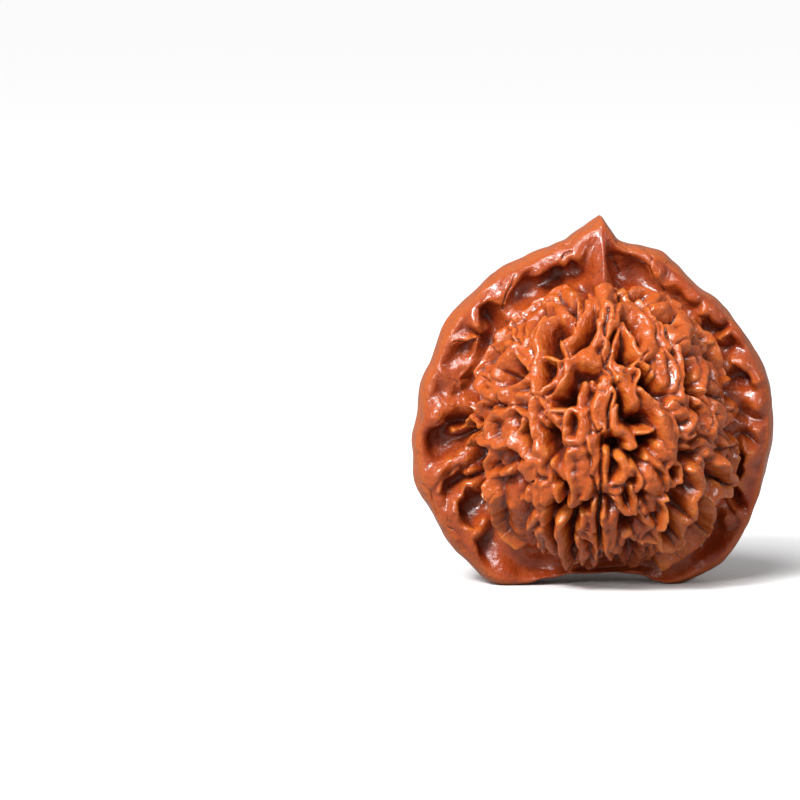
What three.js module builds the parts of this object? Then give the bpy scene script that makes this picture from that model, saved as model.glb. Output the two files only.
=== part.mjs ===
import * as THREE from 'three';
import { ConvexGeometry } from 'three/addons/geometries/ConvexGeometry.js';
import { mergeVertices } from 'three/addons/utils/BufferGeometryUtils.js';

// A polished hand walnut: two ridged bellies on a flat wing, a beak on top, two lobes it stands on.
// Millimetres, +Z up. The seam of the wing lies in the plane y = 0, the near belly looks along -Y.

// Driving dimensions
const nutHeight = 46;
const bellyHalfWidth = 16;
const bellyHalfHeight = 17.3;
const bellyHalfThickness = 17.6;
const bellyCentre = new THREE.Vector3(0.85, 0, 20);
const footHalfThickness = 4.5;
const valleyHalfThickness = 2.4;
const lipHalfThickness = 3.2;
const rimHalfThickness = 2.7;

// Relief of the shell
const ridgeHeight = 1.1;
const bellyFloor = -0.95;
const flankFloor = -1.25;
const wingFloor = -0.1;
const middleDroop = 0.1;
const flankDroop = 0.3;
const ridgeBlend = 5;
const widthScale = 1.15;
const flankWiden = 0.35;
const ridgeShape = 2.3;
const pitDepthScale = 1.4;
const wingPitWidthScale = 1.3;
const floorWaves = 0.3;
const roughnessHeight = 0.12;
const peakHeight = 0.4;
const swellShare = 0.25;
const lumpHeight = 0.42;
const lumpsOnWing = 0.12;
const lumpsOnFlank = 0.4;

// How far paths on the shell wander, and over what length: all of them slowly, the ridges quickly too
const slowWander = { reach: 0.35, length: 3.1, seed: 1 };
const quickWander = { reach: 0.3, length: 1.3, seed: 11 };

// Keel from the near belly up to the beak, and the same on the far side; its left face is the broader
const keelRise = 1.6;
const keelPower = 0.73;
const keelMiddle = 1.1;
const keelLean = 0.07;
const keelLeft = { width: 2.5, spread: 0.12 };
const keelRight = { width: 0.8, spread: 0.1 };
const keelFlare = 2.2;
const keelShape = 2.4;

// Flat spots on the two lobes, from x to x, and the clearance of every other corner over the floor
const footSpots = [[-11, -8], [8.2, 11.2]];
const footHalfDepth = 2;
const footClearance = 0.3;

// Sight line of the measured points: 8 pixels to the millimetre at the seam plane, 800 by 800 frame
const sight = {
  distance: 600,
  pixelsPerMillimetre: 8,
  turn: THREE.MathUtils.degToRad(2.5),
  drop: THREE.MathUtils.degToRad(6),
  frameMiddle: 400,
  nutMiddle: 592,
  middleHeight: nutHeight / 2
};

// Facets: corners run along the crests first, then along the low lines between them, then over the rest
const candidateCount = 42000;
const crestSpacing = 0.6;
const valleySpacing = 0.63;
const bellySpacing = 0.72;
const wingSpacing = 1;
const bendReach = 0.9;
const valleyBend = 0.12;

// Rim of the wing, as measured points from the beak round by the right side
const rimPoints = [
  [600, 214], [604, 217], [610, 227], [617, 238], [628, 243], [640, 245], [651, 248], [662, 252],
  [671, 259], [680, 265], [689, 274], [700, 284], [717, 296], [734, 316], [747, 336], [759, 356],
  [767, 376], [772, 404], [773, 434], [767, 464], [761, 489], [753, 515], [739, 542], [725, 561],
  [713, 569], [701, 575], [691, 580], [681, 584], [670, 586], [660, 585], [652, 582], [645, 577],
  [636, 573], [618, 571], [600, 571], [580, 572], [566, 574], [553, 578], [540, 580], [530, 584],
  [518, 586], [505, 585], [494, 582], [484, 577], [474, 569], [462, 558], [447, 542], [434, 521],
  [422, 496], [415, 479], [412, 460], [411, 436], [416, 406], [423, 376], [431, 356], [439, 336],
  [451, 316], [467, 296], [486, 276], [503, 265], [525, 257], [547, 246], [556, 240], [565, 237],
  [571, 233], [583, 225], [595, 217]
];

// Ridges of the near belly. Each row: height and half width in millimetres, then measured points
const bellyRidges = {
  crownLeft: [
    [1.2, 1.2, 510, 319, 517, 311, 526, 305, 536, 300, 544, 294, 549, 287, 555, 284],
    [1.0, 0.8, 523, 320, 529, 314, 536, 309, 541, 306],
    [1.3, 0.6, 541, 307, 544, 302, 550, 296],
    [1.5, 1.3, 552, 299, 556, 292, 562, 288, 568, 290, 573, 297],
    [1.3, 1.0, 547, 306, 553, 307, 558, 312, 562, 318],
    [1.0, 0.6, 578, 299, 578, 308, 574, 318, 572, 328],
    [1.5, 1.0, 592, 306, 587, 310, 583, 318, 579, 328, 574, 337, 568, 342, 564, 346],
    [1.2, 0.5, 560, 341, 563, 349, 567, 356],
    [1.2, 0.7, 592, 296, 597, 302, 598, 308],
    [1.4, 0.8, 600, 323, 600, 334, 597, 344, 592, 350, 583, 352],
    [1.7, 1.3, 583, 357, 590, 356, 598, 362],
    [1.4, 0.8, 583, 354, 576, 357, 570, 361, 566, 369, 562, 378, 557, 386, 551, 394, 546, 400],
    [1.2, 0.6, 536, 362, 544, 360, 552, 360, 560, 364, 567, 360],
    [1.1, 0.7, 557, 364, 556, 373, 551, 381, 545, 388, 541, 396],
    [1.2, 0.9, 547, 398, 549, 404, 543, 402]
  ],
  shoulderLeft: [
    [1.5, 1.0, 549, 320, 545, 326, 540, 336, 538, 346, 537, 356, 536, 366, 536, 376, 537, 386, 537, 396],
    [1.3, 0.5, 511, 323, 515, 331, 518, 340, 522, 347, 528, 354, 530, 363],
    [1.2, 0.5, 518, 324, 521, 334, 521, 344],
    [1.2, 0.5, 528, 323, 527, 334, 525, 344],
    [1.2, 0.5, 545, 316, 538, 325, 534, 334, 532, 345],
    [1.2, 0.4, 531, 352, 532, 362, 532, 372, 529, 382],
    [1.4, 0.9, 509, 320, 502, 324, 496, 331, 496, 336],
    [1.2, 0.8, 506, 333, 499, 339, 491, 347, 485, 353, 479, 359, 472, 362],
    [1.3, 0.8, 502, 346, 508, 343, 513, 346, 517, 352],
    [1.5, 1.2, 498, 374, 500, 367, 506, 361, 511, 356, 513, 349],
    [1.3, 0.6, 516, 352, 521, 358, 526, 365, 529, 371],
    [1.0, 1.2, 484, 370, 491, 366, 497, 361],
    [1.2, 0.8, 470, 366, 474, 373, 480, 378, 487, 376, 493, 374],
    [1.3, 0.9, 488, 379, 491, 386, 498, 391, 505, 392, 512, 388, 521, 384, 529, 381],
    [1.3, 1.1, 479, 385, 484, 392, 491, 397]
  ],
  flankLeft: [
    [1.4, 1.2, 502, 398, 508, 399, 518, 400, 527, 398],
    [1.2, 0.8, 506, 393, 514, 389, 522, 387],
    [1.2, 0.8, 506, 404, 513, 410, 521, 415, 528, 414],
    [1.3, 0.5, 532, 390, 535, 398, 534, 405],
    [1.1, 0.6, 475, 414, 477, 408, 482, 403, 488, 400],
    [0.9, 0.6, 476, 415, 480, 419, 486, 417, 489, 408],
    [1.4, 0.9, 510, 409, 503, 411, 495, 414, 489, 419, 487, 429, 488, 440, 490, 448],
    [0.9, 2.0, 501, 420, 502, 432],
    [1.5, 0.7, 471, 442, 477, 439, 482, 439, 487, 444],
    [1.7, 1.0, 491, 446, 498, 444, 505, 442, 512, 440, 518, 443, 523, 448, 526, 454],
    [1.1, 0.6, 512, 440, 516, 434, 520, 428, 521, 422],
    [1.3, 0.7, 489, 452, 488, 462, 487, 470, 492, 475, 500, 475, 509, 472],
    [0.6, 1.2, 499, 463],
    [1.6, 1.2, 530, 457, 526, 464, 524, 472, 527, 480],
    [1.2, 0.5, 537, 462, 534, 470, 531, 478]
  ],
  middleLeft: [
    [1.5, 1.1, 534, 404, 533, 413, 534, 423, 537, 433, 538, 443, 540, 453, 541, 463, 542, 472],
    [1.1, 0.5, 540, 418, 546, 422, 551, 420],
    [1.1, 0.7, 546, 412, 552, 409, 560, 408, 568, 410],
    [1.1, 1.0, 553, 413, 559, 420],
    [1.3, 0.8, 570, 411, 570, 421, 567, 430, 565, 437],
    [1.4, 0.8, 572, 409, 577, 411, 584, 415, 586, 423, 587, 431, 583, 438, 577, 442, 569, 440],
    [1.0, 0.7, 556, 421, 560, 427, 563, 435, 564, 442],
    [1.5, 1.0, 603, 386, 600, 395, 597, 405, 597, 415, 598, 426],
    [1.2, 0.9, 585, 384, 583, 392, 581, 400, 580, 407, 585, 411],
    [0.8, 0.6, 592, 380, 594, 388],
    [1.6, 1.0, 571, 452, 567, 461, 566, 471, 570, 481, 574, 490, 575, 500, 573, 507],
    [1.1, 1.6, 580, 452, 580, 465, 581, 480, 580, 492],
    [1.2, 0.7, 590, 440, 593, 450, 594, 462, 591, 474, 588, 486, 585, 498, 578, 504],
    [1.2, 0.8, 553, 463, 556, 469, 560, 474, 561, 480],
    [1.1, 1.0, 550, 472, 552, 481]
  ],
  skirtLeft: [
    [1.4, 0.5, 494, 481, 495, 491, 493, 501, 495, 513, 498, 526, 500, 534],
    [1.5, 0.5, 502, 492, 501, 503, 500, 515, 501, 526],
    [1.0, 1.9, 508, 498, 509, 511, 511, 524, 514, 536, 520, 548],
    [1.3, 0.9, 502, 530, 506, 540, 513, 549, 521, 555],
    [1.3, 0.6, 487, 513, 493, 512],
    [1.4, 0.7, 521, 501, 526, 498, 528, 491],
    [1.4, 0.7, 529, 530, 532, 523, 535, 516],
    [1.1, 0.6, 530, 531, 538, 530],
    [1.3, 0.9, 535, 484, 536, 493, 537, 502, 541, 512, 543, 522],
    [1.3, 0.7, 540, 530, 538, 540, 541, 548, 544, 554],
    [1.2, 0.6, 545, 530, 546, 540, 549, 549, 556, 557],
    [1.4, 0.9, 545, 488, 546, 496, 545, 502],
    [1.3, 0.8, 555, 489, 556, 496, 557, 502],
    [1.5, 0.7, 560, 521, 562, 532, 563, 544, 564, 556, 567, 566, 569, 572],
    [1.1, 0.7, 583, 520, 583, 530, 579, 537, 583, 541, 590, 542],
    [1.2, 0.7, 589, 534, 594, 541, 597, 550, 595, 560, 589, 571],
    [1.2, 0.7, 580, 545, 583, 554, 584, 564],
    [0.9, 0.7, 590, 518, 592, 526]
  ],
  spine: [
    [1.0, 1.3, 603, 290, 606, 300, 606, 310],
    [1.1, 0.5, 612, 291, 613, 300, 610, 310],
    [1.0, 0.5, 601, 318, 602, 330, 600, 345],
    [1.4, 0.6, 609, 325, 607, 336, 606, 348, 604, 356],
    [1.3, 0.6, 611, 345, 609, 356, 610, 368, 616, 378],
    [1.4, 1.1, 607, 376, 607, 388, 606, 402, 604, 416, 603, 428],
    [1.2, 0.6, 614, 390, 613, 402, 612, 414, 612, 426],
    [0.9, 0.8, 595, 437, 596, 450, 598, 462, 597, 478, 598, 490],
    [1.3, 0.5, 606, 452, 606, 464, 605, 476, 606, 485, 612, 486, 619, 482, 624, 475, 624, 466, 621, 458],
    [1.2, 0.9, 606, 489, 611, 491, 617, 493],
    [1.2, 0.6, 604, 510, 604, 524, 605, 538, 606, 550, 609, 559],
    [1.0, 1.1, 613, 524, 612, 538, 613, 550, 618, 555],
    [0.9, 0.5, 594, 505, 594, 520, 596, 534]
  ],
  crownRight: [
    [1.1, 0.6, 617, 278, 619, 288, 617, 298],
    [1.2, 0.6, 624, 281, 628, 290, 627, 296],
    [1.2, 0.9, 634, 291, 640, 288, 648, 286, 653, 290],
    [1.0, 0.5, 630, 299, 636, 304, 644, 312, 651, 321, 656, 331, 658, 342],
    [1.5, 1.2, 614, 321, 615, 313, 620, 307, 630, 308, 639, 312, 647, 319, 652, 329, 652, 340, 648, 349,
      641, 355],
    [1.4, 0.8, 620, 327, 625, 326, 628, 334, 632, 342, 637, 350, 640, 358],
    [1.2, 0.6, 618, 332, 616, 342, 613, 352, 613, 360, 617, 367, 625, 370, 633, 368],
    [1.2, 0.5, 633, 366, 637, 361, 643, 364, 647, 365],
    [1.4, 0.6, 641, 303, 647, 309, 653, 317, 659, 326, 664, 335, 668, 345],
    [1.3, 0.9, 661, 327, 664, 336, 665, 345],
    [1.5, 0.8, 664, 349, 670, 356, 674, 366, 675, 376, 677, 386],
    [1.4, 1.2, 660, 354, 663, 366, 665, 378],
    [0.9, 0.8, 656, 360, 655, 370]
  ],
  shoulderRight: [
    [1.1, 0.5, 656, 291, 661, 293, 667, 294, 671, 291],
    [1.5, 1.0, 651, 303, 656, 299, 664, 298, 673, 299, 680, 302],
    [1.6, 1.2, 657, 311, 665, 310, 673, 311, 680, 316, 683, 324, 684, 332, 681, 338],
    [1.2, 0.8, 668, 327, 674, 335],
    [1.2, 0.5, 680, 300, 684, 308, 687, 318, 688, 329, 691, 337, 688, 343],
    [1.2, 0.7, 682, 346, 691, 345, 699, 350, 705, 356],
    [1.2, 0.8, 709, 361, 709, 370, 707, 380, 705, 391],
    [1.4, 0.7, 677, 345, 681, 352, 681, 361, 679, 371, 680, 381, 683, 391],
    [1.3, 0.7, 689, 320, 696, 326, 702, 333, 708, 340, 711, 346],
    [1.2, 0.5, 691, 329, 697, 337, 703, 344, 709, 350],
    [1.4, 1.0, 714, 343, 720, 346, 726, 352, 730, 358],
    [1.2, 0.7, 720, 357, 725, 364, 728, 371],
    [1.3, 0.5, 737, 375, 731, 378, 724, 384],
    [1.0, 0.9, 714, 366, 719, 375, 722, 384],
    [1.0, 0.8, 697, 357, 701, 366, 701, 377]
  ],
  middleRight: [
    [1.3, 0.9, 617, 430, 624, 429, 630, 434, 634, 442, 630, 445],
    [1.2, 0.8, 617, 405, 616, 414, 616, 424],
    [1.4, 1.2, 619, 374, 625, 378, 630, 386, 634, 396, 636, 403],
    [1.3, 0.5, 638, 369, 636, 380, 636, 392, 636, 402],
    [0.9, 0.4, 637, 430, 645, 430, 654, 429],
    [1.7, 1.3, 643, 391, 650, 397, 657, 403, 660, 413, 662, 423, 665, 433, 669, 442],
    [1.4, 0.7, 664, 406, 669, 413, 671, 423, 675, 434, 677, 445, 676, 456, 670, 463],
    [1.5, 1.2, 660, 447, 664, 456, 672, 452],
    [1.5, 0.9, 676, 388, 680, 393, 682, 398, 677, 402, 670, 405],
    [1.5, 1.0, 674, 413, 680, 411, 686, 411, 692, 416, 691, 424, 685, 429],
    [1.2, 0.6, 678, 434, 685, 436, 693, 433],
    [1.2, 0.6, 675, 400, 683, 401, 690, 403],
    [1.4, 0.8, 624, 457, 627, 466, 630, 474],
    [1.4, 0.8, 631, 466, 637, 473, 639, 481, 634, 488],
    [1.4, 0.7, 648, 459, 656, 463, 664, 469]
  ],
  flankRight: [
    [1.1, 0.4, 690, 402, 693, 413, 697, 423, 703, 431, 709, 437],
    [1.1, 0.5, 695, 423, 701, 429],
    [1.2, 0.4, 706, 398, 710, 405, 713, 414, 714, 420],
    [1.5, 1.3, 716, 405, 722, 410, 725, 416, 721, 421],
    [1.5, 1.2, 711, 422, 713, 429, 712, 435],
    [1.2, 0.9, 714, 384, 720, 387, 726, 393, 727, 400],
    [1.4, 0.9, 730, 405, 735, 407, 737, 414, 732, 420],
    [1.1, 0.6, 726, 424, 731, 422, 735, 424],
    [1.1, 0.6, 726, 430, 729, 437, 724, 440],
    [1.3, 0.8, 700, 404, 706, 408, 708, 414],
    [1.5, 0.7, 722, 441, 730, 443, 738, 445, 745, 451],
    [1.0, 0.6, 681, 445, 690, 446, 697, 448],
    [1.1, 0.5, 700, 445, 708, 448, 715, 448],
    [1.2, 0.7, 704, 454, 711, 454, 717, 455, 724, 457, 733, 456],
    [1.3, 0.6, 716, 460, 718, 469, 722, 476, 727, 481, 724, 486, 716, 490],
    [1.2, 0.5, 679, 460, 684, 465, 685, 474, 682, 480, 674, 484],
    [1.1, 0.5, 700, 460, 703, 467, 705, 473],
    [1.3, 0.7, 714, 491, 714, 498, 707, 501]
  ],
  skirtRight: [
    [1.3, 0.7, 617, 499, 619, 507, 625, 512, 633, 513, 632, 504, 630, 495, 628, 488],
    [1.6, 1.6, 649, 474, 653, 482, 660, 488],
    [1.5, 0.8, 646, 486, 653, 491, 660, 494, 665, 497],
    [1.4, 0.8, 668, 471, 669, 481, 668, 490],
    [1.3, 0.7, 640, 512, 645, 518, 650, 524, 650, 532, 645, 538, 641, 543],
    [1.0, 1.1, 651, 503, 655, 513],
    [1.3, 0.6, 661, 500, 664, 508, 663, 515, 657, 525, 656, 537, 650, 542],
    [1.0, 0.5, 638, 506, 643, 511, 648, 516],
    [1.1, 0.5, 669, 468, 673, 477, 677, 484],
    [1.4, 0.7, 692, 466, 697, 474, 700, 483, 696, 490, 691, 498, 690, 508, 688, 516, 681, 521, 679, 530,
      679, 537, 672, 542, 663, 543],
    [0.9, 1.0, 684, 492, 682, 506],
    [1.5, 0.7, 703, 501, 700, 509, 703, 517, 704, 526, 701, 535, 694, 544, 688, 554, 682, 562, 672, 566,
      660, 565],
    [0.9, 1.6, 690, 528, 680, 547, 668, 555],
    [1.2, 0.8, 647, 546, 643, 555, 638, 564, 634, 571],
    [1.2, 0.6, 651, 545, 653, 552, 648, 559],
    [1.0, 0.4, 624, 549, 626, 541, 632, 539, 637, 543],
    [0.8, 0.6, 620, 560, 627, 567],
    [1.0, 0.7, 637, 541, 644, 534]
  ]
};

// Ribs of the wing, in the same form
const wingRibs = {
  left: [
    [1.1, 0.7, 556, 246, 545, 252, 530, 262, 518, 270, 510, 281, 505, 290, 500, 298],
    [1.1, 1.1, 560, 256, 568, 251, 577, 250],
    [0.8, 1.1, 540, 268, 552, 260],
    [0.9, 0.6, 500, 298, 490, 297, 480, 302, 475, 308, 477, 318, 478, 326],
    [1.1, 0.6, 465, 303, 469, 311, 471, 320, 476, 328],
    [0.8, 0.8, 502, 302, 506, 311, 511, 319],
    [0.7, 0.4, 440, 343, 450, 340, 462, 340, 472, 337],
    [0.7, 0.6, 474, 340, 476, 350, 470, 358, 461, 364, 455, 372, 452, 379],
    [0.6, 0.4, 437, 366, 442, 372, 451, 377],
    [0.6, 0.5, 452, 380, 451, 391, 446, 399],
    [0.9, 0.6, 473, 362, 465, 368, 458, 378, 459, 388, 465, 394],
    [0.5, 0.5, 441, 345, 438, 356, 437, 366],
    [0.5, 0.4, 425, 382, 432, 376, 437, 368],
    [1.4, 0.8, 421, 419, 430, 412, 441, 406, 452, 402, 464, 401, 474, 406],
    [0.7, 0.6, 418, 430, 423, 424, 432, 420, 442, 417],
    [0.8, 0.4, 452, 429, 462, 430, 472, 428, 480, 424],
    [1.3, 0.7, 431, 484, 436, 475, 444, 467, 453, 461, 464, 457, 476, 453, 486, 450],
    [1.0, 0.4, 438, 490, 442, 480, 450, 471, 458, 467],
    [1.0, 0.5, 468, 470, 478, 466, 486, 465],
    [1.2, 0.7, 477, 486, 468, 490, 459, 495, 452, 503, 451, 512, 455, 522, 461, 530, 470, 534, 478, 530,
      486, 522],
    [0.8, 0.6, 465, 534, 470, 545, 474, 556, 478, 566],
    [0.7, 0.6, 441, 500, 442, 512, 447, 526, 454, 538]
  ],
  right: [
    [0.9, 0.9, 646, 252, 652, 262, 658, 274, 668, 282],
    [0.8, 0.9, 672, 282, 684, 283, 695, 291],
    [1.2, 0.8, 694, 318, 700, 312, 707, 308, 713, 310, 717, 317],
    [0.9, 0.5, 713, 310, 722, 317, 731, 319],
    [0.9, 0.5, 722, 338, 732, 333, 742, 338, 750, 346],
    [1.2, 0.7, 727, 366, 735, 360, 745, 360, 753, 366, 757, 378],
    [0.9, 0.7, 753, 350, 757, 359, 753, 366],
    [0.8, 1.0, 738, 394, 747, 396, 754, 403],
    [0.6, 0.8, 738, 424, 746, 426, 756, 432],
    [1.5, 0.7, 738, 445, 745, 449, 750, 455, 748, 465, 748, 478, 741, 488],
    [0.7, 0.8, 706, 504, 716, 504, 724, 510, 727, 518],
    [0.6, 0.5, 730, 502, 738, 512, 743, 522]
  ]
};

// Hollows between the ridges. Each row: depth and radius in millimetres, then measured points
const bellyPits = [
  [2.2, 1.3, 552, 325, 551, 340, 554, 354], [1.1, 0.8, 574, 303, 569, 315, 568, 328],
  [1.5, 0.7, 594, 324, 588, 335, 581, 346], [1.4, 0.7, 514, 355, 518, 364, 524, 374],
  [1.2, 0.6, 509, 362, 507, 374], [1.5, 1.0, 507, 372, 513, 380, 521, 380],
  [1.6, 0.7, 546, 368, 546, 379, 543, 389], [2.2, 1.0, 565, 384, 569, 393, 564, 402],
  [1.4, 0.9, 576, 369, 584, 376, 595, 371], [2.6, 0.9, 621, 339, 619, 350, 624, 360],
  [1.2, 0.7, 628, 322, 633, 332, 641, 344], [1.7, 0.6, 655, 331, 652, 346, 647, 358],
  [0.9, 0.5, 637, 296, 646, 300], [2.0, 0.9, 688, 360, 688, 373, 688, 384],
  [1.4, 0.8, 697, 366, 697, 378, 697, 390], [1.3, 0.5, 692, 335, 697, 342],
  [1.0, 0.5, 714, 352, 715, 361], [1.5, 0.9, 514, 415, 519, 425, 527, 435],
  [1.5, 0.5, 528, 431, 528, 442, 530, 451], [2.2, 1.0, 513, 455, 521, 456],
  [1.5, 1.0, 550, 429, 552, 442, 553, 456], [1.2, 0.5, 481, 407, 484, 415],
  [1.0, 0.5, 488, 401, 496, 405, 503, 409], [1.3, 0.5, 576, 413, 578, 424, 577, 435],
  [0.8, 0.4, 592, 388, 593, 399], [2.4, 1.5, 622, 405, 632, 412, 645, 422],
  [2.0, 0.8, 641, 376, 643, 388, 640, 400], [1.8, 0.9, 650, 380, 656, 390, 665, 397],
  [2.7, 0.9, 642, 440, 650, 441], [2.7, 1.0, 611, 448, 619, 448, 627, 452],
  [1.8, 0.9, 634, 456, 642, 464], [1.6, 0.8, 699, 404, 700, 416], [1.1, 0.6, 690, 452, 696, 455],
  [0.9, 0.7, 612, 462, 615, 474], [1.0, 0.5, 622, 496, 624, 505], [1.2, 0.7, 608, 504, 612, 513],
  [1.6, 0.9, 578, 512, 587, 508], [1.3, 0.6, 574, 518, 573, 532, 574, 546],
  [1.5, 0.8, 630, 526, 629, 537], [0.9, 0.5, 638, 491, 640, 500], [1.8, 1.0, 508, 483, 520, 488],
  [1.4, 0.6, 519, 490, 517, 505, 523, 514], [1.3, 0.8, 528, 541, 533, 549],
  [2.0, 1.0, 551, 511, 565, 511], [1.7, 0.7, 560, 485, 566, 494], [1.2, 0.6, 551, 527, 550, 545],
  [1.6, 0.9, 671, 494, 671, 506, 668, 518], [1.2, 0.7, 706, 470, 706, 480], [1.3, 0.7, 693, 520, 696, 532],
  [1.1, 0.7, 675, 468, 677, 476], [1.0, 0.8, 664, 530, 670, 528], [0.9, 0.7, 614, 563, 622, 560],
  [1.3, 0.8, 652, 572, 662, 572], [1.2, 0.5, 686, 462, 690, 474], [1.4, 0.7, 545, 566, 556, 567],
  [1.0, 0.6, 575, 556, 577, 562], [0.8, 0.6, 497, 471, 505, 467], [1.3, 0.8, 718, 392, 717, 400]
];

// Hollows of the wing, in the same form
const wingPits = [
  [1.3, 1.3, 520, 284, 533, 280, 547, 274], [1.2, 1.2, 550, 275, 560, 270, 571, 265],
  [1.1, 1.3, 622, 262, 632, 272, 642, 276], [0.5, 1.2, 668, 270, 680, 276],
  [1.3, 1.1, 492, 308, 487, 320, 486, 336], [0.7, 1.0, 452, 330, 462, 325, 470, 320],
  [0.8, 1.2, 462, 352], [0.9, 0.9, 468, 380], [0.5, 0.9, 445, 358], [0.5, 0.8, 443, 386, 440, 396],
  [1.4, 1.3, 433, 436, 446, 428, 460, 420, 472, 420], [1.0, 1.2, 440, 446, 458, 442, 474, 438],
  [1.0, 0.9, 454, 486, 463, 480, 474, 477], [1.7, 1.4, 466, 512, 478, 503, 486, 500],
  [1.1, 1.2, 486, 536, 487, 552], [0.5, 0.9, 452, 530, 460, 546],
  [1.0, 1.2, 706, 330, 722, 330], [0.8, 0.9, 724, 348, 736, 350], [0.5, 0.8, 742, 325, 738, 318],
  [1.2, 1.0, 742, 372, 738, 384], [0.9, 1.1, 748, 412, 744, 428], [1.7, 1.4, 738, 462, 730, 478],
  [1.1, 1.2, 722, 496, 733, 506], [1.0, 1.2, 712, 520, 706, 536], [0.5, 1.2, 735, 530, 722, 546],
  [0.7, 1.1, 520, 568, 540, 570], [0.8, 1.2, 690, 570, 668, 574]
];

// Places on the edge of the near belly below which a fold runs down its side to the wing
const sideFolds = [
  [510, 322], [490, 347], [471, 366], [478, 386], [475, 412], [487, 428], [470, 443], [487, 468],
  [492, 500], [499, 530], [521, 556], [545, 568], [569, 573], [589, 573], [610, 572], [637, 571],
  [663, 567], [690, 550], [704, 524], [714, 498], [727, 484], [738, 446], [729, 432], [737, 408],
  [737, 376], [728, 355], [705, 331], [688, 316]
];

// Value noise on a lattice, the same wherever it is worked out
function latticeValue(i, j, k, seed) {
  let h = Math.imul(i, 374761393) + Math.imul(j, 668265263);
  h = (h + Math.imul(k, 1274126177) + Math.imul(seed, 974634777)) | 0;
  h = Math.imul(h ^ (h >>> 13), 1103515245);
  h = h ^ (h >>> 16);
  return (h >>> 0) / 2147483648 - 1;
}

function fade(x) {
  return x * x * (3 - 2 * x);
}

function noise(point, size, seed) {
  const cell = [point.x / size, point.y / size, point.z / size];
  const low = cell.map(Math.floor);
  const part = cell.map((value, axis) => fade(value - low[axis]));
  let sum = 0;
  for (let corner = 0; corner < 8; corner++) {
    const step = [corner & 1, (corner >> 1) & 1, corner >> 2];
    const share = step.reduce((all, on, axis) => all * (on ? part[axis] : 1 - part[axis]), 1);
    sum += share * latticeValue(low[0] + step[0], low[1] + step[1], low[2] + step[2], seed);
  }
  return sum;
}

function smoothstep(low, high, x) {
  return fade(THREE.MathUtils.clamp((x - low) / (high - low), 0, 1));
}

// Smooth curve through knots [place, value...], read at a place between the first and last inner knot
function throughKnots(knots, place) {
  let i = 1;
  while (i < knots.length - 3 && place > knots[i + 1][0]) i++;
  const [before, from, to, after] = knots.slice(i - 1, i + 3);
  const span = to[0] - from[0];
  const x = (place - from[0]) / span;
  return from.slice(1).map((value, index) => {
    const end = to[index + 1];
    const slopeFrom = (end - before[index + 1]) / (to[0] - before[0]) * span;
    const slopeTo = (after[index + 1] - value) / (after[0] - from[0]) * span;
    const bend = (slopeFrom + slopeTo - 2 * (end - value)) * x;
    return value + x * (slopeFrom + x * (3 * (end - value) - 2 * slopeFrom - slopeTo + bend));
  });
}

// Sight line through the frame
const forward = new THREE.Vector3(
  Math.sin(sight.turn) * Math.cos(sight.drop),
  Math.cos(sight.turn) * Math.cos(sight.drop),
  -Math.sin(sight.drop)
);
const rightward = new THREE.Vector3(Math.cos(sight.turn), -Math.sin(sight.turn), 0);
const upward = rightward.clone().cross(forward);
const focal = sight.distance * sight.pixelsPerMillimetre;
const sideways = (sight.nutMiddle - sight.frameMiddle) / sight.pixelsPerMillimetre;
const eye = new THREE.Vector3(0, 0, sight.middleHeight)
  .addScaledVector(forward, -sight.distance)
  .addScaledVector(rightward, -sideways);

function seenAt(point) {
  const offset = point.clone().sub(eye);
  const scale = focal / offset.dot(forward);
  return [sight.frameMiddle + scale * offset.dot(rightward), sight.frameMiddle - scale * offset.dot(upward)];
}

function onSeamPlane([x, y]) {
  const ray = forward.clone()
    .addScaledVector(rightward, (x - sight.frameMiddle) / focal)
    .addScaledVector(upward, (sight.frameMiddle - y) / focal);
  return eye.clone().addScaledVector(ray, -eye.y / ray.y);
}

// Reach of the rim and of the belly from the belly's centre, by direction in the seam plane
const rimKnots = rimPoints.map((point) => {
  const offset = onSeamPlane(point).sub(bellyCentre);
  return [Math.atan2(offset.z, offset.x), Math.hypot(offset.x, offset.z)];
});
rimKnots.sort((a, b) => a[0] - b[0]);
const turned = (knot, turns) => [knot[0] + turns * 2 * Math.PI, knot[1]];
const roundRim = [
  ...rimKnots.slice(-3).map((knot) => turned(knot, -1)),
  ...rimKnots,
  ...rimKnots.slice(0, 3).map((knot) => turned(knot, 1))
];

function bellyReach(angle) {
  return bellyHalfWidth * bellyHalfHeight
    / Math.hypot(bellyHalfHeight * Math.cos(angle), bellyHalfWidth * Math.sin(angle));
}

// Section from the belly's middle (place 0) by its foot, the valley and the lip to the rim (place 1)
const footAngle = Math.acos(footHalfThickness / bellyHalfThickness);
const footPlace = 0.69;
const edgePlace = 0.955;
const ellipseSteps = 5;

function sectionKnots(reach, rim) {
  const wing = rim - reach;
  const knots = [];
  for (let step = -1; step <= ellipseSteps; step++) {
    const angle = footAngle * step / ellipseSteps;
    knots.push([footPlace * step / ellipseSteps, reach * Math.sin(angle),
      bellyHalfThickness * Math.cos(angle)]);
  }
  knots.push([0.77, reach + 0.16 * wing, valleyHalfThickness + 0.25]);
  knots.push([0.84, reach + 0.42 * wing, valleyHalfThickness]);
  knots.push([0.9, reach + 0.7 * wing, lipHalfThickness]);
  knots.push([edgePlace, rim - 0.09 * wing, rimHalfThickness]);
  knots.push([1, rim, 0]);
  knots.push([1.045, rim - 0.09 * wing, -rimHalfThickness]);
  return knots;
}

function placeOf(direction) {
  const across = Math.min(1, Math.hypot(direction.x, direction.z));
  return Math.asin(across) * 2 / Math.PI;
}

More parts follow.
